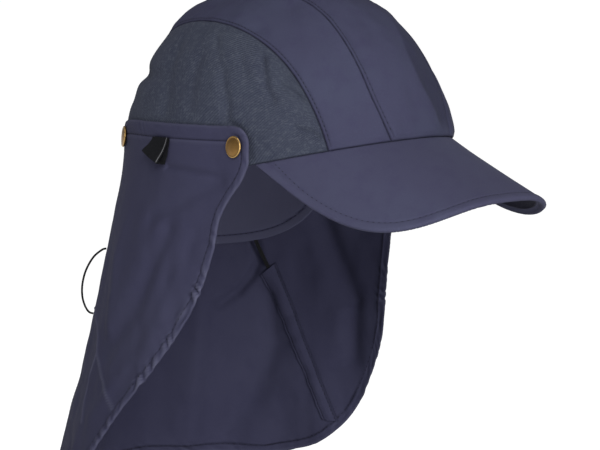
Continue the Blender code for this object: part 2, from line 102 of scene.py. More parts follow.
bpy.context.scene.view_settings.view_transform = "Standard"
bpy.ops.mesh.primitive_plane_add(size=400.0, location=(0.0, 0.0, cad_low.z - FLOOR_BELOW))
floor = bpy.context.object
floor.name = "floor"
floor_finish = bpy.data.materials.new("pale_floor")
floor_finish.use_nodes = True
floor_shader = floor_finish.node_tree.nodes["Principled BSDF"]
floor_shader.inputs["Base Color"].default_value = (0.30, 0.30, 0.30, 1.0)
floor_shader.inputs["Roughness"].default_value = 0.9
# The floor glows pale far from the cap and dim round it: a painted soft shadow under the cap, which also gives less
# light from below.
floor_place = floor_finish.node_tree.nodes.new("ShaderNodeTexCoord")
floor_reach = floor_finish.node_tree.nodes.new("ShaderNodeVectorMath")
floor_reach.operation = "LENGTH"
floor_glow = floor_finish.node_tree.nodes.new("ShaderNodeMapRange")
floor_glow.interpolation_type = "SMOOTHSTEP"
for socket, value in (("From Min", 0.15), ("From Max", 0.70), ("To Min", 0.10), ("To Max", 0.92)):
    floor_glow.inputs[socket].default_value = value
floor_links = floor_finish.node_tree.links
floor_links.new(floor_place.outputs["Object"], floor_reach.inputs[0])
floor_links.new(floor_reach.outputs["Value"], floor_glow.inputs["Value"])
floor_links.new(floor_glow.outputs["Result"], floor_shader.inputs["Emission Color"])
floor_shader.inputs["Emission Strength"].default_value = 1.0
floor.data.materials.append(floor_finish)

world = bpy.data.worlds.new("studio")
world.use_nodes = True
world.node_tree.nodes["Background"].inputs["Color"].default_value = (1.0, 1.0, 1.0, 1.0)
world.node_tree.nodes["Background"].inputs["Strength"].default_value = 0.30
bpy.context.scene.world = world

STUDIO_LIGHTS = (
    # name, azimuth, elevation, distance, size, watts
    ("key_light", -46.0, 24.0, 1.8, 0.7, 25.0),
    ("top_light", -50.0, 70.0, 1.6, 0.8, 8.0),
    ("low_light", -22.0, -9.0, 1.3, 0.3, 12.0),
)
for name, azimuth, elevation, distance, size, watts in STUDIO_LIGHTS:
    place = from_target(math.radians(azimuth), math.radians(elevation), distance)
    bpy.ops.object.light_add(type="AREA", location=place)
    light = bpy.context.object
    light.name = name
    light.data.size = size
    light.data.energy = watts
    light.rotation_mode = "QUATERNION"
    light.rotation_quaternion = (CAMERA_TARGET - place).to_track_quat("-Z", "Y")
print("lights:", len(STUDIO_LIGHTS))

# %% [markdown]
# ## The shapes that everything lies on
# The crown is a stretched ball and the flap hangs from it like a curtain. Two small functions give
# their points from an angle and a height, the same ones that shaped the CAD solids. A panel could be
# sculpted by eye, but then a seam of one panel wouldn't meet its neighbour. With one shared surface,
# each piece is a flat grid whose points are laid on it, and neighbours meet along the same line.

# %% Sizes of the crown, the peak and the flap
CROWN_HALF_WIDTH = 0.081
CROWN_HALF_LENGTH = 0.100
CROWN_HEIGHT = 0.0995
CROWN_WALL = 0.0015
RIM_DROP = 0.002            # the rim at the sides and back, below the origin
RIM_FRONT_RISE = 0.0155     # how much higher it is at the middle of the front
RIM_RISE_START = 0.030
SEAM_GAP = 0.00004          # almost touching, so no light shows between two panels
STRIP_HALF_WIDTH = 0.0255
SMOOTH_HALF_WIDTH = 0.0575
SMOOTH_FOOT_INSET = 0.0027
TONGUE_START = 40.0
TONGUE_END = 142.0
TONGUE_ROUND = 2.6
GUSSET_TIP = 0.0012
STRIP_WIDTHS = (
    # degrees over the top, width share
    (6.0, 1.00),
    (14.0, 1.14),
    (25.0, 1.25),
    (42.0, 1.22),
    (62.0, 1.10),
    (90.0, 1.04),
    (134.0, 0.80),
)

PEAK_REACH = 0.114
PEAK_ROUND = 3.1
PEAK_WALL = 0.0030
PEAK_SLOPE = 0.596
PEAK_ARCH = 0.0513
PEAK_ARCH_POWER = 3.0
PEAK_CORNER_ANGLE = 66.5
PEAK_SWELL = 0.25
PEAK_SEAM_GAP = 0.0004
PEAK_TUCK = 0.0008
PEAK_TIP = 0.0012

FLAP_WALL = 0.0010
HEM_WALL = 0.0013
FLAP_CLEARANCE = 0.0004
FLAP_DROP = 0.192
FLAP_TOP = 0.020
FLAP_BACK_SHARE = 0.72
FLAP_CORNER = 0.010
SIDE_HEM = 0.0050
NEAR_HEM = 0.0040           # the front edge on the right is rolled tighter
TOP_HEM = 0.0080
FLARE = 0.042
FLARE_CURL = 0.25
FLARE_EARLY = 0.6
FLARE_EASE_END = 0.2
FOLD_HEIGHT = 0.007
FRONT_LIFT = 0.0030
LIFT_WIDTH = 14.0
FRONT_EDGE = (
    # depth share of the drop, degrees from the centre back on the right side, on the left side
    (0.00, 111.6, 108.5),
    (0.05, 109.2, 106.0),
    (0.10, 105.2, 103.5),
    (0.16, 101.9, 100.6),
    (0.24, 100.6, 97.0),
    (0.36, 96.8, 95.3),
    (0.43, 93.4, 94.5),
    (0.60, 82.0, 92.3),
    (0.72, 72.0, 86.8),
    (0.82, 65.0, 80.9),
    (0.90, 59.5, 73.6),
    (0.96, 51.0, 63.2),
    (1.00, 38.0, 47.0),
)
FLARE_SHARES = (
    # degrees from the centre back, left side positive; share at the hem
    (-115.0, 0.56),
    (-90.0, 0.65),
    (-60.0, 0.88),
    (-35.0, 1.00),
    (0.0, 0.84),
    (35.0, 0.50),
    (65.0, 0.18),
    (90.0, 0.02),
    (115.0, -0.04),
)
FLAP_FOLDS = (
    # degrees from the back, lean by the hem, half-width in degrees, height share, start share
    (-52.0, 10.0, 9.0, -0.55, 0.45),
    (-30.0, 4.0, 8.0, 0.60, 0.50),
    (-14.0, 0.0, 9.0, -0.90, 0.20),
    (10.0, 4.0, 9.0, 0.80, 0.25),
    (28.0, -12.0, 7.0, -0.80, 0.30),
    (60.0, 8.0, 10.0, -0.50, 0.22),
    (80.0, 4.0, 9.0, 0.45, 0.30),
    (-84.0, 16.0, 10.0, 0.45, 0.30),
)


def blend(table, at, column=1):
    """Value of a table at a place between its rows, on a smooth curve through them."""
    if at <= table[0][0]:
        return table[0][column]
    if at >= table[-1][0]:
        return table[-1][column]
    row = max(i for i in range(len(table) - 1) if table[i][0] <= at)
    before, after = table[row], table[row + 1]
    span = after[0] - before[0]
    share = (at - before[0]) / span

    def slope(i):
        low, high = table[max(i - 1, 0)], table[min(i + 1, len(table) - 1)]
        return (high[column] - low[column]) / (high[0] - low[0])

    return ((2 * share ** 3 - 3 * share ** 2 + 1) * before[column]
            + (share ** 3 - 2 * share ** 2 + share) * span * slope(row)
            + (3 * share ** 2 - 2 * share ** 3) * after[column]
            + (share ** 3 - share ** 2) * span * slope(row + 1))


def smooth_step(value, low, high):
    share = min(max((value - low) / (high - low), 0.0), 1.0)
    return share * share * (3 - 2 * share)


def bump(value, middle, half_width):
    """A soft hill that is 1 at its middle and almost 0 at twice its half-width."""
    away = (value - middle) / half_width
    return math.exp(-away * away)


# %% The crown's surface and its seam lines
def over_the_top(x, degrees):
    """Point of the crown at a given x and angle over the top: 0 is the front, 180 the back."""
    angle = math.radians(degrees)
    across = max(1 - (x / CROWN_HALF_WIDTH) ** 2, 0.0)
    reach = math.sqrt(across / ((math.cos(angle) / CROWN_HALF_LENGTH) ** 2
                                + (math.sin(angle) / CROWN_HEIGHT) ** 2))
    return Vector((x, -reach * math.cos(angle), reach * math.sin(angle)))


def round_the_side(degrees, height):
    """Point of the crown at a given height; 0 degrees is the centre back, +90 the left side."""
    angle = math.radians(degrees)
    level = math.sqrt(max(1 - (height / CROWN_HEIGHT) ** 2, 0.0))
    return Vector((CROWN_HALF_WIDTH * level * math.sin(angle),
                   CROWN_HALF_LENGTH * level * math.cos(angle), height))


def crown_normal(point):
    return Vector((point.x / CROWN_HALF_WIDTH ** 2, point.y / CROWN_HALF_LENGTH ** 2,
                   point.z / CROWN_HEIGHT ** 2)).normalized()


def onto_crown(point):
    reach = math.sqrt((point.x / CROWN_HALF_WIDTH) ** 2 + (point.y / CROWN_HALF_LENGTH) ** 2
                      + (point.z / CROWN_HEIGHT) ** 2)
    return point / reach


def rim_height(y):
    rise = min(max((-y - RIM_RISE_START) / (CROWN_HALF_LENGTH - RIM_RISE_START), 0.0), 1.0)
    return RIM_FRONT_RISE * rise - RIM_DROP


def rim_point(degrees):
    return round_the_side(degrees, rim_height(CROWN_HALF_LENGTH * math.cos(math.radians(degrees))))


def strip_half_width(degrees):
    return STRIP_HALF_WIDTH * blend(STRIP_WIDTHS, degrees)


def rim_degrees(x):
    """Where the front rim lies, over the top, at a given x."""
    level = 1.0
    for _ in range(4):
        turn = math.asin(min(abs(x) / (CROWN_HALF_WIDTH * level), 1.0))
        height = rim_height(-CROWN_HALF_LENGTH * math.cos(turn))
        level = math.sqrt(1 - (height / CROWN_HEIGHT) ** 2)
    return math.degrees(math.atan2(height, CROWN_HALF_LENGTH * level * math.cos(turn)))


def tongue_degrees(x, margin):
    """Where the smooth cloth's round tongue ends, over the top, at a given x."""
    share = min(abs(x) / (SMOOTH_HALF_WIDTH + margin), 1.0)
    reach = TONGUE_END - TONGUE_START + math.degrees(margin / CROWN_HEIGHT)
    return TONGUE_START + reach * (1 - share ** TONGUE_ROUND) ** (1 / TONGUE_ROUND)


FOOT_SHARE = 12 / 32        # of the smooth cloth's edge: up from the rim
GUSSET_SHARE = 27 / 32      # then along the gusset to its tip; the rest goes round the strip's end


def tongue_edge(share, margin):
    """The smooth cloth's edge as x and degrees over the top, from the front rim to the back."""
    widest = SMOOTH_HALF_WIDTH + margin
    if share <= FOOT_SHARE:
        up = share / FOOT_SHARE
        foot = widest - SMOOTH_FOOT_INSET
        start = rim_degrees(foot)
        return foot + SMOOTH_FOOT_INSET * up * (2 - up), start + (TONGUE_START - start) * up
    reach = TONGUE_END - TONGUE_START + math.degrees(margin / CROWN_HEIGHT)
    tip_x = strip_half_width(TONGUE_END) + GUSSET_TIP + margin
    tip_turn = math.atan2((tongue_degrees(tip_x, margin) - TONGUE_START) / reach, tip_x / widest)
    if share <= GUSSET_SHARE:
        turn = tip_turn * (share - FOOT_SHARE) / (GUSSET_SHARE - FOOT_SHARE)
        across, along = math.cos(turn), math.sin(turn)
        scale = (across ** TONGUE_ROUND + along ** TONGUE_ROUND) ** (-1 / TONGUE_ROUND)
        return widest * across * scale, TONGUE_START + reach * along * scale
    x = tip_x * (1 - (share - GUSSET_SHARE) / (1 - GUSSET_SHARE))
    return x, tongue_degrees(x, margin)


# %% The flap's surface
def flap_top(degrees):
    rise = smooth_step(abs(degrees), 15.0, 60.0)
    return FLAP_TOP * (FLAP_BACK_SHARE + (1 - FLAP_BACK_SHARE) * rise)


def front_edge_degrees(height, side):
    """How far round the flap's front edge is at a height; side is +1 on the left."""
    edge = blend(FRONT_EDGE, max(-height, 0.0) / FLAP_DROP, 2 if side > 0 else 1)
    corner_start = FLAP_TOP - FLAP_CORNER
    if height > corner_start:
        up = min((height - corner_start) / FLAP_CORNER, 1.0)
        edge -= math.degrees(FLAP_CORNER * (1 - math.sqrt(1 - up * up)) / CROWN_HALF_LENGTH)
    return edge


def flap_fold(degrees, share):
    total = 0.0
    for centre, lean, half_width, height, start in FLAP_FOLDS:
        total += height * bump(degrees, centre + lean * share, half_width) * smooth_step(share, start, 1.0)
    return FOLD_HEIGHT * total


def flap_point(degrees, height):
    """Point of the flap's inner face at a height above the rim, negative below it."""
    on_crown = round_the_side(degrees, max(height, 0.0))
    out = crown_normal(on_crown)
    edge = FRONT_EDGE[0][2 if degrees > 0 else 1]
    lift = FRONT_LIFT * smooth_step(abs(degrees), edge - LIFT_WIDTH, edge)
    point = on_crown + out * (FLAP_CLEARANCE + lift)
    if height >= 0:
        return point
    share = -height / FLAP_DROP
    flare = FLARE * blend(FLARE_SHARES, degrees) * share * (1 - FLARE_CURL + FLARE_CURL * share)
    ease = FLARE_EARLY + (1 - FLARE_EARLY) * smooth_step(share, 0.0, FLARE_EASE_END)
    level = Vector((out.x, out.y, 0.0)).normalized()
    return Vector((point.x, point.y, height)) + level * (flare * ease + flap_fold(degrees, share))


def flap_normal(degrees, height):
    round_step, down_step = 0.5, 0.0005
    across = flap_point(degrees + round_step, height) - flap_point(degrees - round_step, height)
    down = flap_point(degrees, height - down_step) - flap_point(degrees, height + down_step)
    return across.cross(down).normalized()


# %% [markdown]
# ## Finishes
# Two effects are shared by the materials, so each is a node group: a weave that gives the height
# and the tint of single threads, and a cloud that makes the dye uneven. A point attribute on each
# piece lightens or darkens its colour: painted highlights, painted shade in seams, grooves and folds,
# the peak's darker underside, and real marks: the label's pale thread and the snaps' rubbed rims.
# Every cloth reads its own UV map, which is laid out in metres of real cloth, so a thread is
# the same size on each panel. Image textures would be quicker, but they blur when the view is close.

# %% Helpers for materials
def new_group(name, inputs, outputs):
    """Empty node group with named sockets; inputs are (name, kind, value)."""
    group = bpy.data.node_groups.new(name, "ShaderNodeTree")
    for label, kind, value in inputs:
        socket = group.interface.new_socket(name=label, in_out="INPUT", socket_type=kind)
        if value is not None:
            socket.default_value = value
    for label, kind in outputs:
        group.interface.new_socket(name=label, in_out="OUTPUT", socket_type=kind)
    return group, group.nodes.new("NodeGroupInput"), group.nodes.new("NodeGroupOutput")


def add_math(tree, operation, first, second=None, third=None):
    """Math node whose inputs are sockets or plain numbers; returns its output socket."""
    node = tree.nodes.new("ShaderNodeMath")
    node.operation = operation
    for slot, value in zip(node.inputs, (first, second, third)):
        if isinstance(value, bpy.types.NodeSocket):
            tree.links.new(value, slot)
        elif value is not None:
            slot.default_value = value
    return node.outputs[0]


def add_mix(tree, share, first, second):
    """Mix of two colours; share, first and second are sockets or values."""
    node = tree.nodes.new("ShaderNodeMix")
    node.data_type = "RGBA"
    for slot, value in ((node.inputs[0], share), (node.inputs[6], first), (node.inputs[7], second)):
        if isinstance(value, bpy.types.NodeSocket):
            tree.links.new(value, slot)
        else:
            slot.default_value = value
    return node.outputs[2]


def add_noise(tree, vector, scale, detail=2.0, stretch=(1.0, 1.0, 1.0)):
    """Noise from 0 to 1 on a vector that may be stretched first."""
    mapping = tree.nodes.new("ShaderNodeMapping")
    mapping.inputs["Scale"].default_value = stretch
    texture = tree.nodes.new("ShaderNodeTexNoise")
    texture.inputs["Scale"].default_value = scale
    texture.inputs["Detail"].default_value = detail
    tree.links.new(vector, mapping.inputs["Vector"])
    tree.links.new(mapping.outputs["Vector"], texture.inputs["Vector"])
    return texture.outputs["Fac"]


# %% Group: woven threads
weave_group, given, made = new_group(
    "woven_threads",
    (("Cloth", "NodeSocketVector", None), ("Threads", "NodeSocketFloat", 2200.0),
     ("Diagonal", "NodeSocketFloat", 0.0)),
    (("Height", "NodeSocketFloat"), ("Tint", "NodeSocketFloat")))
scaled = weave_group.nodes.new("ShaderNodeVectorMath")
scaled.operation = "SCALE"
weave_group.links.new(given.outputs["Cloth"], scaled.inputs[0])
weave_group.links.new(given.outputs["Threads"], scaled.inputs["Scale"])
split = weave_group.nodes.new("ShaderNodeSeparateXYZ")
weave_group.links.new(scaled.outputs[0], split.inputs[0])
warp = add_math(weave_group, "SINE", add_math(weave_group, "MULTIPLY", split.outputs["X"], math.tau))
weft = add_math(weave_group, "SINE", add_math(weave_group, "MULTIPLY", split.outputs["Y"], math.tau))
plain = add_math(weave_group, "MULTIPLY", warp, weft)
slanted = add_math(weave_group, "ADD", split.outputs["X"], split.outputs["Y"])
twill = add_math(weave_group, "SINE", add_math(weave_group, "MULTIPLY", slanted, math.tau / 2))
thread_height = weave_group.nodes.new("ShaderNodeMix")
weave_group.links.new(given.outputs["Diagonal"], thread_height.inputs[0])
weave_group.links.new(plain, thread_height.inputs[2])
weave_group.links.new(twill, thread_height.inputs[3])
weave_group.links.new(add_math(weave_group, "MULTIPLY_ADD", thread_height.outputs[0], 0.5, 0.5),
                      made.inputs["Height"])
warp_slub = add_noise(weave_group, scaled.outputs[0], 0.8, 1.0, (1.0, 0.30, 1.0))
weft_slub = add_noise(weave_group, scaled.outputs[0], 0.8, 1.0, (0.30, 1.0, 1.0))
weave_group.links.new(add_math(weave_group, "MULTIPLY_ADD", warp_slub, 0.5,
                               add_math(weave_group, "MULTIPLY", weft_slub, 0.5)), made.inputs["Tint"])

# %% Group: uneven dye
dye_group, given, made = new_group(
    "uneven_dye",
    (("Place", "NodeSocketVector", None), ("Base", "NodeSocketColor", (0.06, 0.06, 0.11, 1.0)),
     ("Light", "NodeSocketColor", (0.07, 0.07, 0.12, 1.0)),
     ("Dark", "NodeSocketColor", (0.05, 0.05, 0.10, 1.0))),
    (("Color", "NodeSocketColor"), ("Cloud", "NodeSocketFloat")))
wide_cloud = add_noise(dye_group, given.outputs["Place"], 18.0, 3.0)
fine_cloud = add_noise(dye_group, given.outputs["Place"], 120.0, 3.0)
pale_share = add_math(dye_group, "MULTIPLY", add_math(dye_group, "SUBTRACT", wide_cloud, 0.42), 3.0)
deep_share = add_math(dye_group, "MULTIPLY", add_math(dye_group, "SUBTRACT", fine_cloud, 0.50), 2.0)
pale_share.node.use_clamp = True
deep_share.node.use_clamp = True
paler = add_mix(dye_group, pale_share, given.outputs["Base"], given.outputs["Light"])
dye_group.links.new(add_mix(dye_group, deep_share, paler, given.outputs["Dark"]), made.inputs["Color"])
dye_group.links.new(wide_cloud, made.inputs["Cloud"])


# %% Cloth finishes
def cloth_finish(name, colours, threads, diagonal, relief, roughness, sheen):
    """Woven cloth; colours are base, light, dark, the threads' pale tint, and the pale colour for painted highlights
    and pale marks.
    """
    material = bpy.data.materials.new(name)
    material.use_nodes = True
    tree = material.node_tree
    shader = tree.nodes["Principled BSDF"]
    cloth_map = tree.nodes.new("ShaderNodeUVMap")
    cloth_map.uv_map = "cloth"
    place = tree.nodes.new("ShaderNodeTexCoord").outputs["Object"]
    weave = tree.nodes.new("ShaderNodeGroup")
    weave.node_tree = weave_group
    weave.inputs["Threads"].default_value = threads
    weave.inputs["Diagonal"].default_value = diagonal
    tree.links.new(cloth_map.outputs["UV"], weave.inputs["Cloth"])
    dye = tree.nodes.new("ShaderNodeGroup")
    dye.node_tree = dye_group
    tree.links.new(place, dye.inputs["Place"])
    for socket, colour in zip(("Base", "Light", "Dark"), colours):
        dye.inputs[socket].default_value = (*colour, 1.0)
    thread_share = add_math(tree, "MULTIPLY", add_math(tree, "SUBTRACT", weave.outputs["Tint"], 0.48), 2.2)
    thread_share.node.use_clamp = True
    threaded = add_mix(tree, thread_share, dye.outputs["Color"], (*colours[3], 1.0))
    # A point attribute lightens the colour for painted highlights and the label's pale thread, and darkens it for
    # painted shade in seams, grooves and folds and for the peak's darker underside.
    marks_and_painted_light = tree.nodes.new("ShaderNodeAttribute")
    marks_and_painted_light.attribute_name = "marks_and_painted_light"
    pale_share = add_math(tree, "MULTIPLY", marks_and_painted_light.outputs["Fac"], 0.55)
    deep_share = add_math(tree, "MULTIPLY", marks_and_painted_light.outputs["Fac"], -0.85)
    pale_share.node.use_clamp = True
    deep_share.node.use_clamp = True
    # Lighter towards the fifth colour: painted highlights, and the label's pale thread.
    highlights_and_pale_marks = add_mix(tree, pale_share, threaded, (*colours[4], 1.0))
    # Near black: painted shade in seams, grooves and folds, and the peak's darker underside.
    dark_mark_colour = tuple(0.22 * part for part in colours[2])
    tree.links.new(add_mix(tree, deep_share, highlights_and_pale_marks, (*dark_mark_colour, 1.0)), shader.inputs["Base Color"])
    matt = add_math(tree, "MULTIPLY_ADD", dye.outputs["Cloud"], 0.16, roughness - 0.08)
    tree.links.new(matt, shader.inputs["Roughness"])
    shader.inputs["Sheen Weight"].default_value = sheen
    shader.inputs["Sheen Roughness"].default_value = 0.45
    shader.inputs["Sheen Tint"].default_value = (0.70, 0.72, 0.95, 1.0)
    shader.inputs["IOR"].default_value = 1.08
    raised = tree.nodes.new("ShaderNodeBump")
    raised.inputs["Distance"].default_value = relief
    raised.inputs["Strength"].default_value = 0.8
    tree.links.new(weave.outputs["Height"], raised.inputs["Height"])
    tree.links.new(raised.outputs["Normal"], shader.inputs["Normal"])
    return material


# The fifth colour of each set is the pale colour that painted highlights mix towards.
NAVY = ((0.033, 0.0335, 0.060), (0.036, 0.039, 0.066), (0.029, 0.027, 0.055),
        (0.039, 0.040, 0.070), (0.062, 0.063, 0.100))
FLAP_NAVY = ((0.030, 0.030, 0.056), (0.034, 0.0345, 0.061), (0.026, 0.026, 0.050),
             (0.035, 0.0355, 0.064), (0.092, 0.094, 0.140))
# The peak's cover is the smooth cloth made about a tenth lighter: painted light on the peak.
PEAK_NAVY = ((0.037, 0.037, 0.066), (0.041, 0.043, 0.074), (0.032, 0.030, 0.060),
             (0.044, 0.045, 0.078), (0.066, 0.067, 0.106))
GREY_NAVY = ((0.030, 0.034, 0.051), (0.036, 0.041, 0.058), (0.022, 0.025, 0.041),
             (0.066, 0.074, 0.093), (0.046, 0.050, 0.069))
smooth_cloth = cloth_finish("smooth_navy_cloth", NAVY, 2200.0, 0.0, 0.00005, 0.74, 0.01)
peak_cloth = cloth_finish("smooth_navy_cloth_painted_lighter", PEAK_NAVY, 2200.0, 0.0, 0.00005, 0.70, 0.03)
flap_cloth = cloth_finish("hanging_navy_cloth", FLAP_NAVY, 2200.0, 0.0, 0.00005, 0.70, 0.02)
side_cloth = cloth_finish("open_twill_cloth", GREY_NAVY, 1000.0, 1.0, 0.00030, 0.85, 0.03)


# %% Thread, brass, tape and elastic
def plain_finish(name, roughness, metallic=0.0):
    material = bpy.data.materials.new(name)
    material.use_nodes = True
    shader = material.node_tree.nodes["Principled BSDF"]
    shader.inputs["Roughness"].default_value = roughness
    shader.inputs["Metallic"].default_value = metallic
    shader.inputs["IOR"].default_value = 1.2
    return material, material.node_tree, shader


thread_finish, tree, shader = plain_finish("navy_thread", 0.55)
place = tree.nodes.new("ShaderNodeTexCoord").outputs["Object"]
strand = add_noise(tree, place, 900.0, 2.0)
tree.links.new(add_mix(tree, strand, (0.003, 0.003, 0.007, 1.0), (0.009, 0.009, 0.018, 1.0)),
               shader.inputs["Base Color"])

brass_finish, tree, shader = plain_finish("antique_brass", 0.38, 1.0)
turned_map = tree.nodes.new("ShaderNodeUVMap")
turned_map.uv_map = "cloth"
place = tree.nodes.new("ShaderNodeTexCoord").outputs["Object"]
brushed = add_noise(tree, turned_map.outputs["UV"], 5200.0, 2.0, (1.0, 0.02, 1.0))
tarnish = add_noise(tree, place, 420.0, 4.0)
marks_and_painted_light = tree.nodes.new("ShaderNodeAttribute")
marks_and_painted_light.attribute_name = "marks_and_painted_light"
aged = add_mix(tree, tarnish, (0.18, 0.100, 0.032, 1.0), (0.29, 0.165, 0.054, 1.0))
tree.links.new(add_mix(tree, marks_and_painted_light.outputs["Fac"], aged, (0.52, 0.34, 0.13, 1.0)), shader.inputs["Base Color"])
dull = add_math(tree, "MULTIPLY_ADD", tarnish, 0.22, 0.30)
tree.links.new(add_math(tree, "MULTIPLY_ADD", marks_and_painted_light.outputs["Fac"], -0.14, dull), shader.inputs["Roughness"])
raised = tree.nodes.new("ShaderNodeBump")
raised.inputs["Distance"].default_value = 0.00002
tree.links.new(brushed, raised.inputs["Height"])
tree.links.new(raised.outputs["Normal"], shader.inputs["Normal"])

label_finish = cloth_finish(
    "black_woven_tape",
    ((0.0060, 0.0062, 0.0070), (0.0085, 0.0088, 0.0098), (0.0045, 0.0046, 0.0052),
     (0.013, 0.013, 0.015), (0.30, 0.30, 0.32)), 1800.0, 0.0, 0.00010, 0.80, 0.02)

elastic_finish, tree, shader = plain_finish("braided_elastic", 0.60)
cord_map = tree.nodes.new("ShaderNodeUVMap")
cord_map.uv_map = "cloth"
braid = tree.nodes.new("ShaderNodeGroup")
braid.node_tree = weave_group
braid.inputs["Threads"].default_value = 1400.0
tree.links.new(cord_map.outputs["UV"], braid.inputs["Cloth"])
tree.links.new(add_mix(tree, braid.outputs["Height"], (0.002, 0.002, 0.0025, 1.0), (0.014, 0.014, 0.016, 1.0)),
               shader.inputs["Base Color"])
raised = tree.nodes.new("ShaderNodeBump")
raised.inputs["Distance"].default_value = 0.00012
tree.links.new(braid.outputs["Height"], raised.inputs["Height"])
tree.links.new(raised.outputs["Normal"], shader.inputs["Normal"])
print("finishes:", len([m for m in bpy.data.materials if m.use_nodes]))

# %% [markdown]
# ## Cords
# Black elastic runs from under the nape panel into a casing on each side, and a thin loop of it
# stands out behind the flap. A braid has no straight edge, so its pattern is drawn along and round
# each tube with the UV map, where one turn round is as long as the real cord is round. The routes
# are those of the CAD tubes.

# %% Cord routes
INNER_CORD_DIAMETER = 0.0024        # two strands side by side
BACK_CORD_DIAMETER = 0.0012
BACK_ROUTE = (
    (-0.0537, 0.0916, -0.0560),
    (-0.0553, 0.0935, -0.0568),
    (-0.0585, 0.0973, -0.0610),
    (-0.0613, 0.1006, -0.0685),
    (-0.0627, 0.1022, -0.0765),
    (-0.0628, 0.1023, -0.0835),
    (-0.0619, 0.1012, -0.0890),
    (-0.0604, 0.0995, -0.0927),
    (-0.0587, 0.0975, -0.0937),
)
INNER_ROUTE = (
    (0.0515, 0.0763, -0.0440),
    (0.0529, 0.0744, -0.0500),
    (0.0543, 0.0723, -0.0560),
    (0.0568, 0.0713, -0.0620),
    (0.0598, 0.0703, -0.0680),
    (0.0620, 0.0692, -0.0730),
    (0.0631, 0.0683, -0.0756),
)


def along_route(route, points):
    """Evenly stepped points on the smooth curve through a route."""
    rows = [(i, *place) for i, place in enumerate(route)]
    steps = [i / (points - 1) * (len(route) - 1) for i in range(points)]
    return [Vector(blend(rows, at, column) for column in (1, 2, 3)) for at in steps]


def path_length(path):
    return sum((after - before).length for before, after in zip(path, path[1:]))


# %% Tubes with a UV map along and round them
TUBE_SIDES = 12


def dress(piece, slot_name, *nodes):
    """The piece rides with the cap and takes its place among the CAD nodes."""
    bpy.ops.object.select_all(action="DESELECT")
    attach(piece, "root")
    if nodes:
        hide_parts(*nodes)
    faces = sum(len(polygon.vertices) - 2 for polygon in piece.data.polygons)
    print(piece.name, "triangles", faces)
    return piece


def tube_mesh(name, path, radius, shift=0.0):
    """Round tube along a path; shift moves it sideways from the path, level with the ground."""
    bpy.ops.mesh.primitive_grid_add(x_subdivisions=TUBE_SIDES, y_subdivisions=len(path) - 1, size=1.0)
    tube = bpy.context.object
    tube.name = name
    tube.data.uv_layers[0].name = "cloth"
    rings, lengths = [], [0.0]
    for i, point in enumerate(path):
        ahead = (path[min(i + 1, len(path) - 1)] - path[max(i - 1, 0)]).normalized()
        sideways = ahead.cross(Vector((0.4, 0.9, 0.2))).normalized()
        rings.append((point + sideways * shift, sideways, ahead.cross(sideways)))
        if i:
            lengths.append(lengths[-1] + (point - path[i - 1]).length)
    places = []
    for vertex in tube.data.vertices:
        ring = round((vertex.co.y + 0.5) * (len(path) - 1))
        turn = math.tau * (vertex.co.x + 0.5)
        middle, sideways, outward = rings[ring]
        places.append((turn / math.tau, lengths[ring]))
        vertex.co = middle + (sideways * math.cos(turn) + outward * math.sin(turn)) * radius
    for loop in tube.data.loops:
        round_share, along = places[loop.vertex_index]
        tube.data.uv_layers["cloth"].data[loop.index].uv = (round_share * math.tau * radius, along)
    bpy.ops.object.mode_set(mode="EDIT")
    bpy.ops.mesh.select_all(action="SELECT")
    bpy.ops.mesh.remove_doubles(threshold=radius * 0.01)
    bpy.ops.mesh.select_all(action="DESELECT")
    bpy.ops.mesh.select_non_manifold()
    bpy.ops.mesh.fill_holes(sides=0)
    bpy.ops.mesh.select_all(action="SELECT")
    bpy.ops.mesh.normals_make_consistent(inside=False)
    bpy.ops.object.mode_set(mode="OBJECT")
    bpy.ops.object.shade_smooth_by_angle(angle=math.radians(60.0))
    return tube


def join(first, *others):
    bpy.ops.object.select_all(action="DESELECT")
    for piece in (first, *others):
        piece.select_set(True)
    bpy.context.view_layer.objects.active = first
    bpy.ops.object.join()
    return first


# %% The three cords
back_path = along_route(BACK_ROUTE, 41)
back_loop = tube_mesh("elastic_back_loop", back_path, BACK_CORD_DIAMETER / 2)
back_loop.data.materials.append(elastic_finish)
dress(back_loop, "elastic", "cord_back_loop")

for word, side in (("right", -1), ("left", 1)):
    inner_path = [Vector((side * p.x, p.y, p.z)) for p in along_route(INNER_ROUTE, 33)]
    strands = [tube_mesh("elastic_inner_" + word, inner_path, INNER_CORD_DIAMETER / 4, shift)
               for shift in (-INNER_CORD_DIAMETER / 4, INNER_CORD_DIAMETER / 4)]
    inner_cord = join(*strands)
    inner_cord.data.materials.append(elastic_finish)
    dress(inner_cord, "elastic", "cord_inner_" + word)
    print("inner cord in mm:", round(1000 * path_length(inner_path), 1))

# %% [markdown]
# ## Cutting and sewing a panel
# Each cloth piece starts as a grid primitive, a flat cut of cloth. Its points are laid on the crown
# or on the flap's surface, its UV map is set to the real lengths along its threads, and its outer
# face is then pushed in and out a little: down into the seams, up over a folded hem, and in small
# puckers along the stitches. Solidify gives the wall, thin at the edges so that they look folded.
# Cloth simulation would also give folds, but not these folds, and the seams would no longer meet.

# %% Laying a grid on a surface
def graded(cells, low_hem, low_cells, high_hem, high_cells):
    """Shares from 0 to 1 with fine cells in the two hems and even cells between them."""
    inner = np.linspace(low_hem, 1 - high_hem, cells + 1)
    low = np.linspace(0.0, low_hem, low_cells + 1)[:-1]
    high = np.linspace(1 - high_hem, 1.0, high_cells + 1)[1:]
    return np.concatenate([low, inner, high])


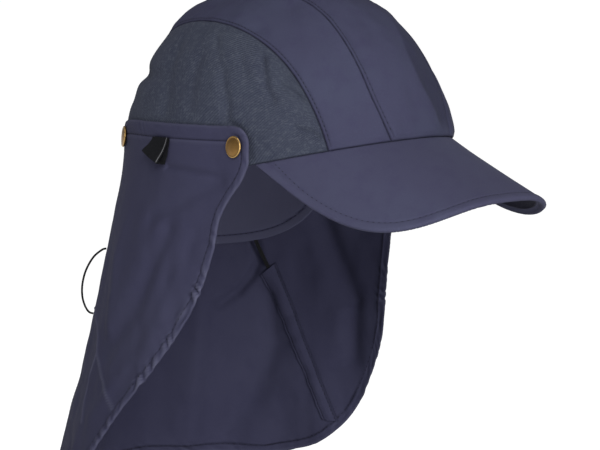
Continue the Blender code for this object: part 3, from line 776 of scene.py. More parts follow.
def lay_grid(name, across, down, place, head_side=None):
    """Grid primitive with its points at place(u, v); returns it with its points as rows of columns."""
    columns, rows = len(across) - 1, len(down) - 1
    bpy.ops.object.select_all(action="DESELECT")
    bpy.ops.mesh.primitive_grid_add(x_subdivisions=columns, y_subdivisions=rows, size=1.0)
    piece = bpy.context.object
    piece.name = name
    piece.data.uv_layers[0].name = "cloth"
    points = np.array([[place(u, v) for u in across] for v in down])
    spot = np.array([v.co for v in piece.data.vertices])
    column = np.rint((spot[:, 0] + 0.5) * columns).astype(int)
    row = np.rint((spot[:, 1] + 0.5) * rows).astype(int)
    piece.data.vertices.foreach_set("co", points[row, column].ravel())
    piece.data.update()
    return piece, points, row, column


def lay_cloth_map(piece, points, row, column):
    """UV map in metres: along each row from its middle column, and down the middle column."""
    middle = points.shape[1] // 2
    steps = np.linalg.norm(np.diff(points, axis=1), axis=2)
    along = np.concatenate([np.zeros((len(points), 1)), np.cumsum(steps, axis=1)], axis=1)
    along -= along[:, middle:middle + 1]
    falls = np.linalg.norm(np.diff(points[:, middle], axis=0), axis=1)
    down = np.concatenate([[0.0], np.cumsum(falls)])
    corners = np.zeros(len(piece.data.loops), int)
    piece.data.loops.foreach_get("vertex_index", corners)
    uv = np.stack([along[row, column][corners], down[row][corners]], axis=1)
    piece.data.uv_layers["cloth"].data.foreach_set("uv", uv.ravel())


def outward_normals(piece, away):
    """Normals of the points, turned so that they point away from the head or the ground."""
    normals = np.zeros(len(piece.data.vertices) * 3)
    piece.data.vertices.foreach_get("normal", normals)
    normals = normals.reshape(-1, 3)
    places = np.array([v.co for v in piece.data.vertices])
    facing = sum(Vector(n).dot(away(Vector(p))) for n, p in zip(normals[::7], places[::7]))
    if facing < 0:
        bpy.ops.object.mode_set(mode="EDIT")
        bpy.ops.mesh.select_all(action="SELECT")
        bpy.ops.mesh.flip_normals()
        bpy.ops.object.mode_set(mode="OBJECT")
        normals = -normals
    return places, normals


# %% Edges of a panel, and how far each point is from them
EDGE_STEP = 0.0005


def edge_lines(points):
    """The four sides of a grid as lists of points; top is v = 0, left is u = 0."""
    return {"top": points[0], "bottom": points[-1], "left": points[:, 0], "right": points[:, -1]}


def near_edge(points, places, sides):
    """For each place: distance to the nearest of the sides, its length along it and its number."""
    lines = edge_lines(points)
    samples = []
    for number, name in enumerate(sides):
        line = lines[name]
        lengths = np.concatenate([[0.0], np.cumsum(np.linalg.norm(np.diff(line, axis=0), axis=1))])
        steps = max(int(lengths[-1] / EDGE_STEP), 2)
        for at in np.linspace(0.0, lengths[-1], steps):
            spot = [np.interp(at, lengths, line[:, k]) for k in range(3)]
            samples.append((spot, at, number))
    tree = KDTree(len(samples))
    for i, (spot, _, _) in enumerate(samples):
        tree.insert(spot, i)
    tree.balance()
    found = [tree.find(place) for place in places]
    distance = np.array([f[2] for f in found])
    along = np.array([samples[f[1]][1] for f in found])
    number = np.array([samples[f[1]][2] for f in found])
    return distance, along, number


# %% Giving the cloth its wall
def extrude_wall(piece, moved, normals, thickness):
    """Gives a piece its wall by extruding it and setting each new point under its own old one."""
    bpy.context.view_layer.objects.active = piece
    bpy.ops.object.mode_set(mode="EDIT")
    bpy.ops.mesh.select_all(action="SELECT")
    bpy.ops.mesh.extrude_region_move()
    bpy.ops.object.mode_set(mode="OBJECT")
    finder = KDTree(len(moved))
    for i, spot in enumerate(moved):
        finder.insert(spot, i)
    finder.balance()
    for vertex in piece.data.vertices:
        if vertex.select:
            i = finder.find(vertex.co)[1]
            vertex.co = moved[i] - normals[i] * thickness[i]
    bpy.ops.object.mode_set(mode="EDIT")
    bpy.ops.mesh.select_all(action="SELECT")
    bpy.ops.mesh.remove_doubles(threshold=0.00001)
    bpy.ops.mesh.normals_make_consistent(inside=False)
    bpy.ops.object.mode_set(mode="OBJECT")


def sew(piece, places, normals, lift, edge_distance, wall, marks_and_painted_light, outwards=False, extruded=False):
    """Moves the outer face by its lift, rounds the free edges and gives the cloth its wall."""
    radius = wall / 2
    close = np.clip(edge_distance / radius, 0.0, 1.0)
    share = 0.30 + 0.70 * np.sqrt(np.clip(1 - (1 - close) ** 2, 0.0, 1.0))
    inset = (1 - share) * wall / 2
    shift = lift + inset if outwards else lift - inset
    moved = places + normals * shift[:, None]
    piece.data.vertices.foreach_set("co", moved.ravel())
    mark = piece.data.attributes.new("marks_and_painted_light", "FLOAT", "POINT")
    mark.data.foreach_set("value", marks_and_painted_light.astype(np.float32))
    if extruded:
        extrude_wall(piece, moved, normals, share * wall)
        bpy.ops.object.shade_smooth_by_angle(angle=math.radians(75.0))
        return piece
    group = piece.vertex_groups.new(name="wall")
    for index, value in enumerate(share * wall / wall.max()):
        group.add([index], float(value), "REPLACE")
    bpy.context.view_layer.objects.active = piece
    solidify = piece.modifiers.new("wall", "SOLIDIFY")
    solidify.thickness = float(wall.max())
    solidify.offset = 1.0 if outwards else -1.0
    solidify.vertex_group = group.name
    bpy.ops.object.modifier_apply(modifier=solidify.name)
    bpy.ops.object.shade_smooth_by_angle(angle=math.radians(75.0))
    return piece


def rumple(place, scale, stretch=(1.0, 1.0, 1.0), octaves=2):
    """Smooth noise from -1 to 1; scale is the size of one wave in metres."""
    spot = Vector((place[0] / scale * stretch[0], place[1] / scale * stretch[1], place[2] / scale * stretch[2]))
    return noise.fractal(spot, 1.0, 2.0, octaves)


def seam_dip(distance, depth=0.0005, width=0.0013):
    """How far the cloth turns down into a seam."""
    return -depth * np.clip(1 - distance / width, 0.0, 1.0) ** 2


def stitch_pucker(distance, along, inset, height=0.00018, pitch=0.008, reach=0.005):
    """Groove under a row of stitches, and the small puckers that it draws beside it."""
    groove = -0.00022 * np.exp(-((distance - inset) / 0.0006) ** 2)
    waves = np.array([noise.noise(Vector((a / pitch, d / 0.02, 3.7))) for a, d in zip(along, distance)])
    return groove + height * waves * np.exp(-((distance - inset) / reach) ** 2)


# %% [markdown]
# ## Stitches
# A topstitch is a short length of thread that comes up through the cloth and goes down again. One is
# modelled as a small stretched ball with few faces, because there are hundreds. A row follows a line
# at a set distance from a seam or hem, and each stitch is laid on the finished cloth there.

# %% One stitch and rows of it
STITCH_LENGTH = 0.0016
STITCH_PITCH = 0.0026
THREAD_DIAMETER = 0.00050

bpy.ops.mesh.primitive_uv_sphere_add(segments=6, ring_count=4, radius=0.5)
one_stitch = bpy.context.object
one_stitch.name = "one_stitch"
bpy.ops.object.mode_set(mode="EDIT")
bpy.ops.transform.rotate(value=math.radians(90.0), orient_axis="Y", center_override=(0.0, 0.0, 0.0))
bpy.ops.transform.resize(value=(STITCH_LENGTH, THREAD_DIAMETER, THREAD_DIAMETER))
bpy.ops.object.mode_set(mode="OBJECT")


def edge_path(points, side, inset, start=0.0, end=0.0):
    """Line at a set distance inside one side of a grid, with its ends cut back."""
    line = edge_lines(points)[side]
    inner = {"top": points[1], "bottom": points[-2], "left": points[:, 1], "right": points[:, -2]}[side]
    lengths = np.concatenate([[0.0], np.cumsum(np.linalg.norm(np.diff(line, axis=0), axis=1))])
    path = []
    for at in np.arange(start, lengths[-1] - end, STITCH_PITCH / 3):
        spot = Vector([np.interp(at, lengths, line[:, k]) for k in range(3)])
        near = Vector([np.interp(at, lengths, inner[:, k]) for k in range(3)])
        ahead = Vector([np.interp(at + EDGE_STEP, lengths, line[:, k]) for k in range(3)]) - spot
        if ahead.length < EDGE_STEP / 10:
            continue
        inward = near - spot
        inward -= ahead * (inward.dot(ahead) / ahead.length_squared)
        path.append(spot + inward.normalized() * inset)
    return path


def stitch_rows(name, cloth_piece, paths, faces, look=None):
    """Rows of stitches on a finished cloth; faces are +1 for its outer side and -1 for its inner."""
    surface = BVHTree.FromObject(cloth_piece, bpy.context.evaluated_depsgraph_get())
    rows = bmesh.new()
    count = 0
    for path in paths:
        for side in faces:
            travelled, since = 0.0, 0.0
            for before, spot in zip(path, path[1:]):
                travelled += (spot - before).length
                if travelled - since < STITCH_PITCH:
                    continue
                since = travelled
                ahead = (spot - before).normalized()
                on_cloth, normal, _, _ = surface.find_nearest(spot)
                away = (look or outward_of(spot)) * side
                hit, normal, _, _ = surface.ray_cast(spot + away * 0.006, -away, 0.012)
                if hit is None:
                    hit, normal = on_cloth, normal or away
                normal = normal.normalized()
                if normal.dot(away) < 0:
                    normal = -normal
                across = normal.cross(ahead).normalized()
                ahead = across.cross(normal).normalized()
                turn = Matrix((ahead, across, normal)).transposed().to_4x4()
                mesh = one_stitch.data.copy()
                mesh.transform(Matrix.Translation(hit - normal * THREAD_DIAMETER * 0.15) @ turn)
                rows.from_mesh(mesh)
                bpy.data.meshes.remove(mesh)
                count += 1
    mesh = bpy.data.meshes.new(name)
    rows.to_mesh(mesh)
    rows.free()
    piece = bpy.data.objects.new(name, mesh)
    bpy.context.scene.collection.objects.link(piece)
    piece.data.materials.append(thread_finish)
    for polygon in piece.data.polygons:
        polygon.use_smooth = True
    print(name, "stitches", count)
    return piece


def outward_of(point):
    """Away from the head, straight out near the flap and the crown."""
    if point.z > 0.0:
        return crown_normal(point)
    return Vector((point.x / CROWN_HALF_WIDTH ** 2, point.y / CROWN_HALF_LENGTH ** 2, 0.0)).normalized()


# %% [markdown]
# ## Crown
# Five panels: a smooth strip over the middle, a smooth wedge on each side of it, and two sides of an
# open twill that meet in a seam at the back. Thin cloth over a head is never quite even, so the
# smooth panels get slow shallow waves, and the sides get the drag lines and dents of the photograph.

# %% Centre strip and gussets
RIDGE = (
    # degrees over the top, x of the soft ridge on the front of the strip
    (0.0, 0.0190),
    (9.0, 0.0134),
    (18.0, 0.0090),
    (26.0, 0.0030),
    (34.0, 0.0030),
    (42.0, 0.0071),
    (48.0, 0.0118),
    (75.0, 0.0230),
)
RIDGE_DEPTH = 0.0036        # how far the crown falls in beyond the ridge
RIM_PUFF = 0.0010           # the band inside pushes the front rim out


def smooth_waves(places):
    """Slow waves of the smooth panels, and the puff of the front rim, which ends at the ridge."""
    lifts = []
    for x, y, z in places:
        past = x - blend(RIDGE, math.degrees(math.atan2(z, -y)))
        puff = RIM_PUFF * bump(z - rim_height(y), 0.003, 0.004) * smooth_step(-y, 0.060, 0.090)
        puff *= 1 - smooth_step(past, -0.006, 0.004)
        lifts.append(puff + 0.0018 * rumple((x, y, z + 0.05), 0.034, (1.0, 1.0, 0.45), 4))
    return np.array(lifts)


def beyond_ridge(places):
    """How far the crown falls in beyond the ridge on the front, and how much painted shade that facet gets."""
    falls, facet_shades = [], []
    for x, y, z in places:
        over = math.degrees(math.atan2(z, -y))
        past = x - blend(RIDGE, over)
        above_rim = smooth_step(z, 0.0135, 0.024)
        reach = (1 - smooth_step(over, 22.0, 46.0)) * above_rim
        falls.append((1 - math.exp(-max(past, 0.0) / 0.009)) * (1 - smooth_step(x, 0.013, 0.040)) * reach)
        # Painted shade on the facet beyond the ridge.
        facet_shades.append(smooth_step(past, -0.0004, 0.0022) * (1 - smooth_step(x, 0.024, 0.045)) * above_rim
                      * (1 - smooth_step(over, 38.0, 60.0)))
    return RIDGE_DEPTH * np.array(falls), np.array(facet_shades)


SEAM_INSET = 0.0020


def crown_panel(name, across, down, place, material, extra, stitched_sides, slot_name, node):
    """Sews one panel of the crown: seams turned in on all sides, with topstitching where named."""
    piece, points, row, column = lay_grid(name, across, down, place)
    lay_cloth_map(piece, points, row, column)
    places, normals = outward_normals(piece, crown_normal)
    distance, along, number = near_edge(points, places, ("top", "bottom", "left", "right"))
    names = ("top", "bottom", "left", "right")
    lift = seam_dip(distance) + extra(places) * np.clip(distance / 0.004, 0.0, 1.0)
    puckers = stitch_pucker(distance, along, SEAM_INSET, 0.00032, 0.0065)
    beside_stitches = np.array([names[n] in stitched_sides for n in number])
    plain_pucker = stitch_pucker(distance, along, -0.01, 0.00020, 0.010, 0.012)
    lift += np.where(beside_stitches, puckers, plain_pucker)
    # Painted shadow in the seam and in the stitch groove beside it.
    marks_and_painted_light = -0.9 * np.exp(-(distance / 0.0005) ** 2)
    marks_and_painted_light -= 0.45 * np.exp(-((distance - SEAM_INSET) / 0.0004) ** 2) * beside_stitches
    if material is smooth_cloth:
        fall, share = beyond_ridge(places)
        lift -= fall
        # Painted shade on the facet beyond the front ridge.
        marks_and_painted_light -= 0.40 * share
    wall = np.full(len(places), CROWN_WALL)
    piece = sew(piece, places, normals, lift, distance, wall, marks_and_painted_light)
    piece.data.materials.append(material)
    dress(piece, slot_name, node)
    return piece, points


def centre_place(u, v):
    side = 2 * u - 1
    low = rim_degrees(side * strip_half_width(0.0))
    high = tongue_degrees(side * strip_half_width(TONGUE_END), -SEAM_GAP / 2)
    degrees = low + (high - low) * v
    return over_the_top(side * (strip_half_width(degrees) - SEAM_GAP / 2), degrees)


def gusset_place(side):
    inner_start = rim_degrees(strip_half_width(0.0))
    inner_end = tongue_degrees(strip_half_width(TONGUE_END) + SEAM_GAP / 2, -SEAM_GAP / 2)
    outer_foot, outer_start = tongue_edge(0.0, -SEAM_GAP / 2)
    inner_foot = strip_half_width(inner_start) + SEAM_GAP / 2
    outer_end = tongue_edge(GUSSET_SHARE, -SEAM_GAP / 2)[1]

    def place(u, v):
        outer_x, outer_degrees = tongue_edge(GUSSET_SHARE * v, -SEAM_GAP / 2)
        along = (outer_degrees - outer_start) / (outer_end - outer_start)
        inner_degrees = inner_start + (inner_end - inner_start) * along
        inner_x = strip_half_width(inner_degrees) + SEAM_GAP / 2
        x = inner_x + (outer_x - inner_x) * u
        degrees = inner_degrees + (outer_degrees - inner_degrees) * u
        straight_foot = inner_start + (outer_start - inner_start) * u
        to_rim = rim_degrees(inner_foot + (outer_foot - inner_foot) * u) - straight_foot
        point = over_the_top(x, degrees + to_rim * max(1 - v / 0.25, 0.0) ** 2)
        return Vector((side * point.x, point.y, point.z))

    return place


strip_across = graded(30, 0.06, 6, 0.06, 6)
strip_down = graded(120, 0.015, 6, 0.015, 6)
centre_panel, centre_points = crown_panel(
    "crown_centre_strip", strip_across, strip_down, centre_place, smooth_cloth, smooth_waves,
    ("left", "right"), "smooth_cloth", "crown_centre_panel")
gusset_across = graded(24, 0.09, 6, 0.09, 6)
gusset_down = graded(110, 0.015, 6, 0.010, 4)
gussets = {}
for word, side in (("right", -1), ("left", 1)):
    gussets[word] = crown_panel(
        "crown_gusset_cloth_" + word, gusset_across, gusset_down, gusset_place(side), smooth_cloth,
        smooth_waves, ("right",), "smooth_cloth", "crown_gusset_" + word)

# %% Side panels with their creases
CREASE_DEPTH = 0.0032
SIDE_CREASES = (
    # degrees from the back, height share of the crown, half-width in degrees,
    # half-height share, depth share of CREASE_DEPTH
    (40.0, 0.45, 26.0, 0.045, 1.00),
    (30.0, 0.30, 22.0, 0.040, 0.20),
    (78.0, 0.36, 14.0, 0.060, 0.30),
)
SIDE_WRINKLES = (
    # start and end as degrees from the back and height share, half-width and depth in millimetres
    (88.6, 0.68, 97.3, 0.50, 2.6, 0.9),
    (97.3, 0.50, 101.9, 0.31, 2.4, 1.5),
    (101.9, 0.31, 102.0, 0.23, 2.4, 1.9),
    (102.0, 0.23, 106.5, 0.19, 2.0, 1.8),
    (106.5, 0.19, 109.8, 0.12, 1.8, 1.8),
    (109.8, 0.12, 110.5, 0.02, 1.8, 1.6),
    (113.3, 0.56, 115.1, 0.42, 2.4, 2.2),
    (115.1, 0.42, 118.2, 0.34, 2.2, 1.8),
    (120.9, 0.43, 129.8, 0.35, 1.9, 1.6),
    (126.2, 0.195, 134.0, 0.155, 2.2, 1.8),
    (103.8, 0.57, 107.3, 0.48, 2.2, 0.9),
    (66.6, 0.60, 74.4, 0.27, 5.0, 1.6),
    (84.7, 0.55, 87.0, 0.28, 3.5, 0.9),
)


CROWN_SCALE = np.array([math.radians(0.088), CROWN_HEIGHT])     # metres for one degree, for the height


def off_line(spots, line, scale):
    """Distances from places, given in degrees and height shares, to a line between two of them."""
    start = np.array(line[0:2]) * scale
    way = np.array(line[2:4]) * scale - start
    away = spots * scale - start
    share = np.clip(away @ way / (way @ way), 0.0, 1.0)
    return np.linalg.norm(away - share[:, None] * way, axis=1)


def line_folds(spots, lines, scale):
    """Lift in metres of soft folds along lines; each line ends with its half-width and height in mm.

    Where lines meet, only the strongest counts, so a bent fold can be given as several lines."""
    rise, sink = np.zeros(len(spots)), np.zeros(len(spots))
    for line in lines:
        lift = 0.001 * line[5] * np.exp(-(off_line(spots, line, scale) / (0.001 * line[4])) ** 2)
        rise, sink = np.maximum(rise, lift), np.minimum(sink, lift)
    return rise + sink


def side_waves(places):
    """Dents of the CAD sides, drag lines that rise from the flap, and a fine crumple."""
    lifts, spots = [], []
    for x, y, z in places:
        degrees = math.degrees(math.atan2(abs(x) / CROWN_HALF_WIDTH, y / CROWN_HALF_LENGTH))
        spots.append((degrees, z / CROWN_HEIGHT))
        depth = 0.0
        for centre, height, half_width, half_height, share in SIDE_CREASES:
            depth += CREASE_DEPTH * share * bump(degrees, centre, half_width) * bump(z / CROWN_HEIGHT, height, half_height)
        lifts.append(-depth + 0.0009 * rumple((x, y, z + 0.3 * math.copysign(1.0, x)), 0.022, (1.0, 1.0, 0.45), 3))
    return np.array(lifts) - line_folds(np.array(spots), SIDE_WRINKLES, CROWN_SCALE)


def side_place(side):
    half_gap = SEAM_GAP / 2
    front_foot = over_the_top(*tongue_edge(0.0, half_gap))
    front_degrees = math.degrees(math.atan2(front_foot.x / CROWN_HALF_WIDTH,
                                            front_foot.y / CROWN_HALF_LENGTH))
    back_foot = rim_point(0.0)
    back_low = math.degrees(math.atan2(back_foot.z, -back_foot.y)) % 360.0
    back_high = tongue_edge(1.0, half_gap)[1]

    def bottom(u):
        return rim_point(front_degrees * (1 - u))

    def top(u):
        return over_the_top(*tongue_edge(FOOT_SHARE + (1 - FOOT_SHARE) * u, half_gap))

    def front(v):
        return over_the_top(*tongue_edge(FOOT_SHARE * v, half_gap))

    def back(v):
        return over_the_top(0.0, back_low + (back_high - back_low) * v)

    def place(u, v):
        point = (bottom(u) * (1 - v) + top(u) * v + front(v) * (1 - u) + back(v) * u
                 - bottom(0) * (1 - u) * (1 - v) - bottom(1) * u * (1 - v)
                 - top(0) * (1 - u) * v - top(1) * u * v)
        point = onto_crown(point)
        return Vector((side * max(point.x, half_gap), point.y, point.z))

    return place


side_across = graded(110, 0.015, 6, 0.012, 5)
side_down = graded(56, 0.03, 5, 0.03, 5)
for word, side in (("right", -1), ("left", 1)):
    crown_panel(
        "crown_side_cloth_" + word, side_across, side_down, side_place(side), side_cloth,
        side_waves, (), "side_cloth", "crown_side_panel_" + word)

# %% Topstitching on the crown
centre_stitches = stitch_rows(
    "stitches_centre_strip", centre_panel,
    [edge_path(centre_points, "left", SEAM_INSET, 0.003, 0.003),
     edge_path(centre_points, "right", SEAM_INSET, 0.003, 0.003)], (1,))
dress(centre_stitches, "smooth_cloth")
for word in ("right", "left"):
    rows = stitch_rows("stitches_gusset_" + word, gussets[word][0],
                       [edge_path(gussets[word][1], "right", SEAM_INSET, 0.003, 0.004)], (1,))
    dress(rows, "smooth_cloth")

# %% [markdown]
# ## Peak
# A stiff board in a cover of the smooth cloth, sewn under the front rim. The cover is turned at the
# front edge and held by one row of stitches 5 mm inside it, so the band outside the row stands up a
# little like a soft pipe. It is a grid between the rim and a rounded front edge, arched across.

# %% Peak
PEAK_STITCH_INSET = 0.0052
peak_corner = rim_point(180.0 - PEAK_CORNER_ANGLE)
peak_half_width = peak_corner.x + PEAK_TIP


def peak_height(x, y):
    return (peak_corner.z - PEAK_SEAM_GAP - PEAK_SLOPE * (peak_corner.y - y)
            + PEAK_ARCH * (1 - abs(x / peak_half_width) ** PEAK_ARCH_POWER))


def peak_inner(side):
    rim = rim_point(180.0 - side * PEAK_CORNER_ANGLE)
    out = crown_normal(rim)
    rim -= Vector((out.x, out.y, 0.0)) * PEAK_TUCK
    return Vector((rim.x, rim.y, rim.z - PEAK_SEAM_GAP))


def peak_outer(side):
    turn = math.radians(90.0 * side)
    x = math.copysign(abs(math.sin(turn)) ** (2 / PEAK_ROUND), side) * peak_half_width
    y = peak_corner.y - PEAK_REACH * max(math.cos(turn), 0.0) ** (2 / PEAK_ROUND)
    return Vector((x, y, peak_height(x, y)))


def peak_place(u, v):
    inner, outer = peak_inner(2 * u - 1), peak_outer(2 * u - 1)
    point = inner.lerp(outer, v)
    straight = outer.z * v + peak_height(inner.x, inner.y) * (1 - v)
    point.z += PEAK_SWELL * (peak_height(point.x, point.y) - straight)
    return point


peak_across = 0.5 + 0.5 * np.sin(np.linspace(-1.0, 1.0, 351) * math.pi / 2) * 0.35 + 0.5 * 0.65 * np.linspace(-1.0, 1.0, 351)
peak_down = graded(44, 0.01, 2, 0.10, 18)
peak, peak_points, row, column = lay_grid("peak_cover", peak_across, peak_down, peak_place)
lay_cloth_map(peak, peak_points, row, column)
places, _ = outward_normals(peak, lambda p: Vector((0.0, 0.0, 1.0)))
tilt = 3 * PEAK_ARCH * (places[:, 0] / peak_half_width) ** 2 * np.sign(places[:, 0]) / peak_half_width
normals = np.stack([tilt, np.full(len(places), -PEAK_SLOPE), np.ones(len(places))], axis=1)
normals /= np.linalg.norm(normals, axis=1)[:, None]
distance, along, _ = near_edge(peak_points, places, ("bottom",))
pipe = 0.00035 * np.sin(np.clip(distance / PEAK_STITCH_INSET, 0.0, 1.0) * math.pi) ** 0.7
lift = pipe + stitch_pucker(distance, along, PEAK_STITCH_INSET, 0.00010, 0.007, 0.004)
from_rim, _, _ = near_edge(peak_points, places, ("top",))
lift += (np.array([0.0004 * rumple(p, 0.05, (1.0, 1.0, 0.5), 2) for p in places])
         * np.clip(distance / 0.02, 0.0, 1.0) * np.clip(from_rim / 0.02, 0.0, 1.0))
# A slightly paler band between the edge and the stitch row.
marks_and_painted_light = 0.10 * np.clip(1 - distance / PEAK_STITCH_INSET, 0.0, 1.0)
# Painted glints between the stitches, on the +x half of the peak only.
between = np.clip(np.sin(math.tau * along / STITCH_PITCH), 0.0, 1.0) * np.clip(places[:, 0] / 0.04 + 1.0, 0.0, 1.0)
marks_and_painted_light += 0.9 * between * np.exp(-((distance - PEAK_STITCH_INSET) / 0.0004) ** 2)
sew(peak, places, normals, lift, distance, np.full(len(places), PEAK_WALL), marks_and_painted_light, extruded=True)
spots = np.array([v.co for v in peak.data.vertices])
facing = np.array([v.normal.z for v in peak.data.vertices])
from_front, _, _ = near_edge(peak_points, spots, ("bottom",))
shade = np.zeros(len(spots), np.float32)
peak.data.attributes["marks_and_painted_light"].data.foreach_get("value", shade)
dark_underside = np.clip((from_front - PEAK_STITCH_INSET) / 0.0010, 0.0, 1.0) * (facing < 0)     # the underside past the stitch row, made near black
peak.data.attributes["marks_and_painted_light"].data.foreach_set("value", (shade * (1 - dark_underside) - 1.1 * dark_underside).astype(np.float32))
peak.data.materials.append(peak_cloth)
dress(peak, "peak_cloth", "peak")

# %% [markdown]
# ## Neck flap
# One sheet of thin cloth, hemmed all round. It could be draped by simulation, but the photograph's
# folds are known, so the CAD's folds are kept and finer ones added where the cloth is pulled: along
# the band at its top, from the snaps, and in slanting flutes along the hem of its front edges.

# %% Finer folds of the flap
FLAP_HEIGHT = FLAP_TOP + FLAP_DROP
FLAP_SCALE = np.array([math.radians(0.115), FLAP_DROP])
FINE_FOLDS = (
    # start and end as degrees from the back and share of the drop, half-width and height in mm
    # outside, on the right: from the snap, under the band, and down the middle
    (-79.0, 0.020, -99.0, 0.035, 2.0, -1.6),
    (-101.0, 0.05, -74.0, 0.17, 5.0, -1.6),
    (-82.0, 0.20, -74.0, 0.38, 6.5, -2.0),
    (-74.0, 0.38, -60.0, 0.58, 6.5, -2.2),
    (-57.0, 0.30, -60.0, 0.50, 5.5, 1.2),
    (-89.0, 0.32, -77.0, 0.58, 6.0, 1.3),
    (-93.0, 0.20, -86.0, 0.42, 5.0, -0.8),
    (-74.0, 0.58, -58.0, 0.76, 6.0, 1.4),
    # inside, on the left: a long valley near the front edge
    (64.0, 0.14, 73.5, 0.365, 8.0, 4.6),
    (73.5, 0.365, 80.0, 0.49, 8.0, 4.4),
    (80.0, 0.49, 79.0, 0.66, 7.5, 3.4),
    # inside, where the cord pulls, and left of the casing
    (43.5, 0.32, 44.5, 0.38, 3.0, 3.0),
    (44.5, 0.38, 42.0, 0.43, 3.0, 4.0),
    (42.0, 0.43, 37.5, 0.475, 2.8, 3.8),
    (37.5, 0.475, 31.0, 0.515, 3.0, 2.6),
    (47.5, 0.49, 49.5, 0.64, 8.0, 4.0),
    (49.5, 0.64, 45.0, 0.75, 9.5, 4.4),
    (45.0, 0.75, 35.0, 0.93, 11.0, 4.4),
    (24.0, 0.50, 23.0, 0.95, 8.0, -2.6),
)


def looseness(spots, places):
    """Lift in metres of all the small folds of the flap, at places given in both ways."""
    lift = line_folds(spots, FINE_FOLDS, FLAP_SCALE)
    for i, (x, y, z) in enumerate(places):
        slack = 0.0021 * rumple((x, y, z), 0.045, (1.0, 1.0, 0.40), 3)
        slack += 0.0006 * rumple((x, y, z), 0.015, (1.0, 1.0, 0.7), 2)
        lift[i] += slack * smooth_step(spots[i][1], 0.0, 0.25)
    return lift


THIN_RIDGES = (
    # the casing's stitching seen from outside, with the same columns
    (-40.0, 0.465, -51.5, 0.530, 0.9, 1.0),
    (-51.5, 0.530, -53.0, 0.585, 0.9, 1.0),
    (-53.0, 0.585, -58.0, 0.630, 0.9, 1.0),
    (-58.0, 0.630, -64.6, 0.680, 0.9, 1.0),
    (-64.6, 0.680, -68.2, 0.720, 0.9, 1.0),
    (-53.0, 0.585, -50.0, 0.650, 0.9, 1.0),
    (-50.0, 0.650, -50.0, 0.725, 0.9, 1.0),
    (-50.0, 0.725, -52.5, 0.785, 0.9, 1.0),
)


flap_columns = graded(160, 0.016, 10, 0.016, 10)
near_ridges = np.linspace(0.055, 0.250, 97)      # finer cells where the thin ridges run
flap_columns = np.concatenate([flap_columns[flap_columns < 0.054], near_ridges, flap_columns[flap_columns > 0.252]])
flap_rows = graded(156, 0.046, 12, 0.036, 10)
print("flap grid:", len(flap_columns), "by", len(flap_rows))


def flap_place(u, v):
    height = FLAP_TOP - FLAP_HEIGHT * v
    left = front_edge_degrees(height, 1)
    right = -front_edge_degrees(height, -1)
    degrees = right + (left - right) * u
    if height > 0:
        height *= flap_top(degrees) / FLAP_TOP
    return flap_point(degrees, height)


flap, flap_points, row, column = lay_grid("neck_flap_cloth", flap_columns, flap_rows, flap_place)
lay_cloth_map(flap, flap_points, row, column)
places, normals = outward_normals(flap, outward_of)
FLAP_SIDES = ("top", "bottom", "left", "right")
distance, along, number = near_edge(flap_points, places, FLAP_SIDES)

# %% Hems, puckers and wall of the flap
hem_width = np.array([TOP_HEM, SIDE_HEM, NEAR_HEM, SIDE_HEM])[number]
in_hem = np.clip(distance / hem_width, 0.0, 1.0)
roll = 0.00030 * np.sin(in_hem * math.pi) ** 0.8
flute_height = np.array([0.00012, 0.00025, 0.00140, 0.00035])[number]
flutes = np.array([math.sin(math.tau * (a / 0.0088 + d / 0.0060)
                            + 13.0 * noise.noise(Vector((a / 0.023, 1.3 * n, d / 0.02))))
                   * (0.10 + 2.2 * abs(noise.noise(Vector((a / 0.016, 7.0, n)))))
                   for a, d, n in zip(along, distance, number)])
flutes *= flute_height * np.exp(-((distance - 0.45 * hem_width) / (0.85 * hem_width)) ** 2)
flutes *= np.array([0.10 + 0.90 * smooth_step(a, 0.050, 0.085) - 0.7 * smooth_step(a, 0.160, 0.190) + 1.2 * bump(a, 0.208, 0.008)
                    if n > 1 else 1.0 for a, n in zip(along, number)])
groove = -0.00035 * np.exp(-((distance - hem_width) / 0.0006) ** 2)
flap_spots = []
for u, v in zip(flap_columns[column], flap_rows[row]):
    height = FLAP_TOP - FLAP_HEIGHT * v
    left, right = front_edge_degrees(height, 1), -front_edge_degrees(height, -1)
    flap_spots.append((right + (left - right) * u, -height / FLAP_DROP))
flap_spots = np.array(flap_spots)
folds = looseness(flap_spots, places)
band_ridge = 0.00035 * np.exp(-((distance - TOP_HEM - 0.0012) / 0.0009) ** 2) * (number == 0)
lift = roll + flutes + groove + folds + band_ridge
wall = np.where(distance < hem_width, HEM_WALL, FLAP_WALL + (HEM_WALL - FLAP_WALL) * np.exp(-(distance - hem_width) / 0.0008))
# Painted highlight along the hem's edge, and on the flutes a painted highlight on their crests and painted shade in
# their hollows.
marks_and_painted_light = np.exp(-(distance / 0.0012) ** 2) * 0.4 + np.clip(flutes / 0.0006, -0.5, 1.0) * 0.6
# Painted shadow in each hem's stitch groove, weaker on the right front edge.
groove_shadow = np.array([0.9, 0.9, 0.25, 0.9])[number]
marks_and_painted_light -= groove_shadow * np.exp(-((distance - hem_width) / 0.0005) ** 2)
thin = np.clip(1000 * line_folds(flap_spots, THIN_RIDGES, FLAP_SCALE), 0.0, 1.0)
lift += 0.0007 * thin
# Painted highlights along the thin ridges and along the ridge under the top band.
marks_and_painted_light += 0.9 * thin + 0.25 * np.exp(-((distance - TOP_HEM - 0.0012) / 0.0007) ** 2) * (number == 0)
sew(flap, places, normals, lift, distance, wall, marks_and_painted_light, outwards=True)
flap.data.materials.append(flap_cloth)
dress(flap, "flap_cloth", "neck_flap")

# %% [markdown]
# ## Nape panel and casings
# Behind the neck a short hemmed panel hangs from the crown's back rim, inside the flap. On each side
# a strip is sewn slantwise to the flap's inner face as a casing for the elastic. The strips follow
# the flap's own surface, puffed up between their two rows of stitches.

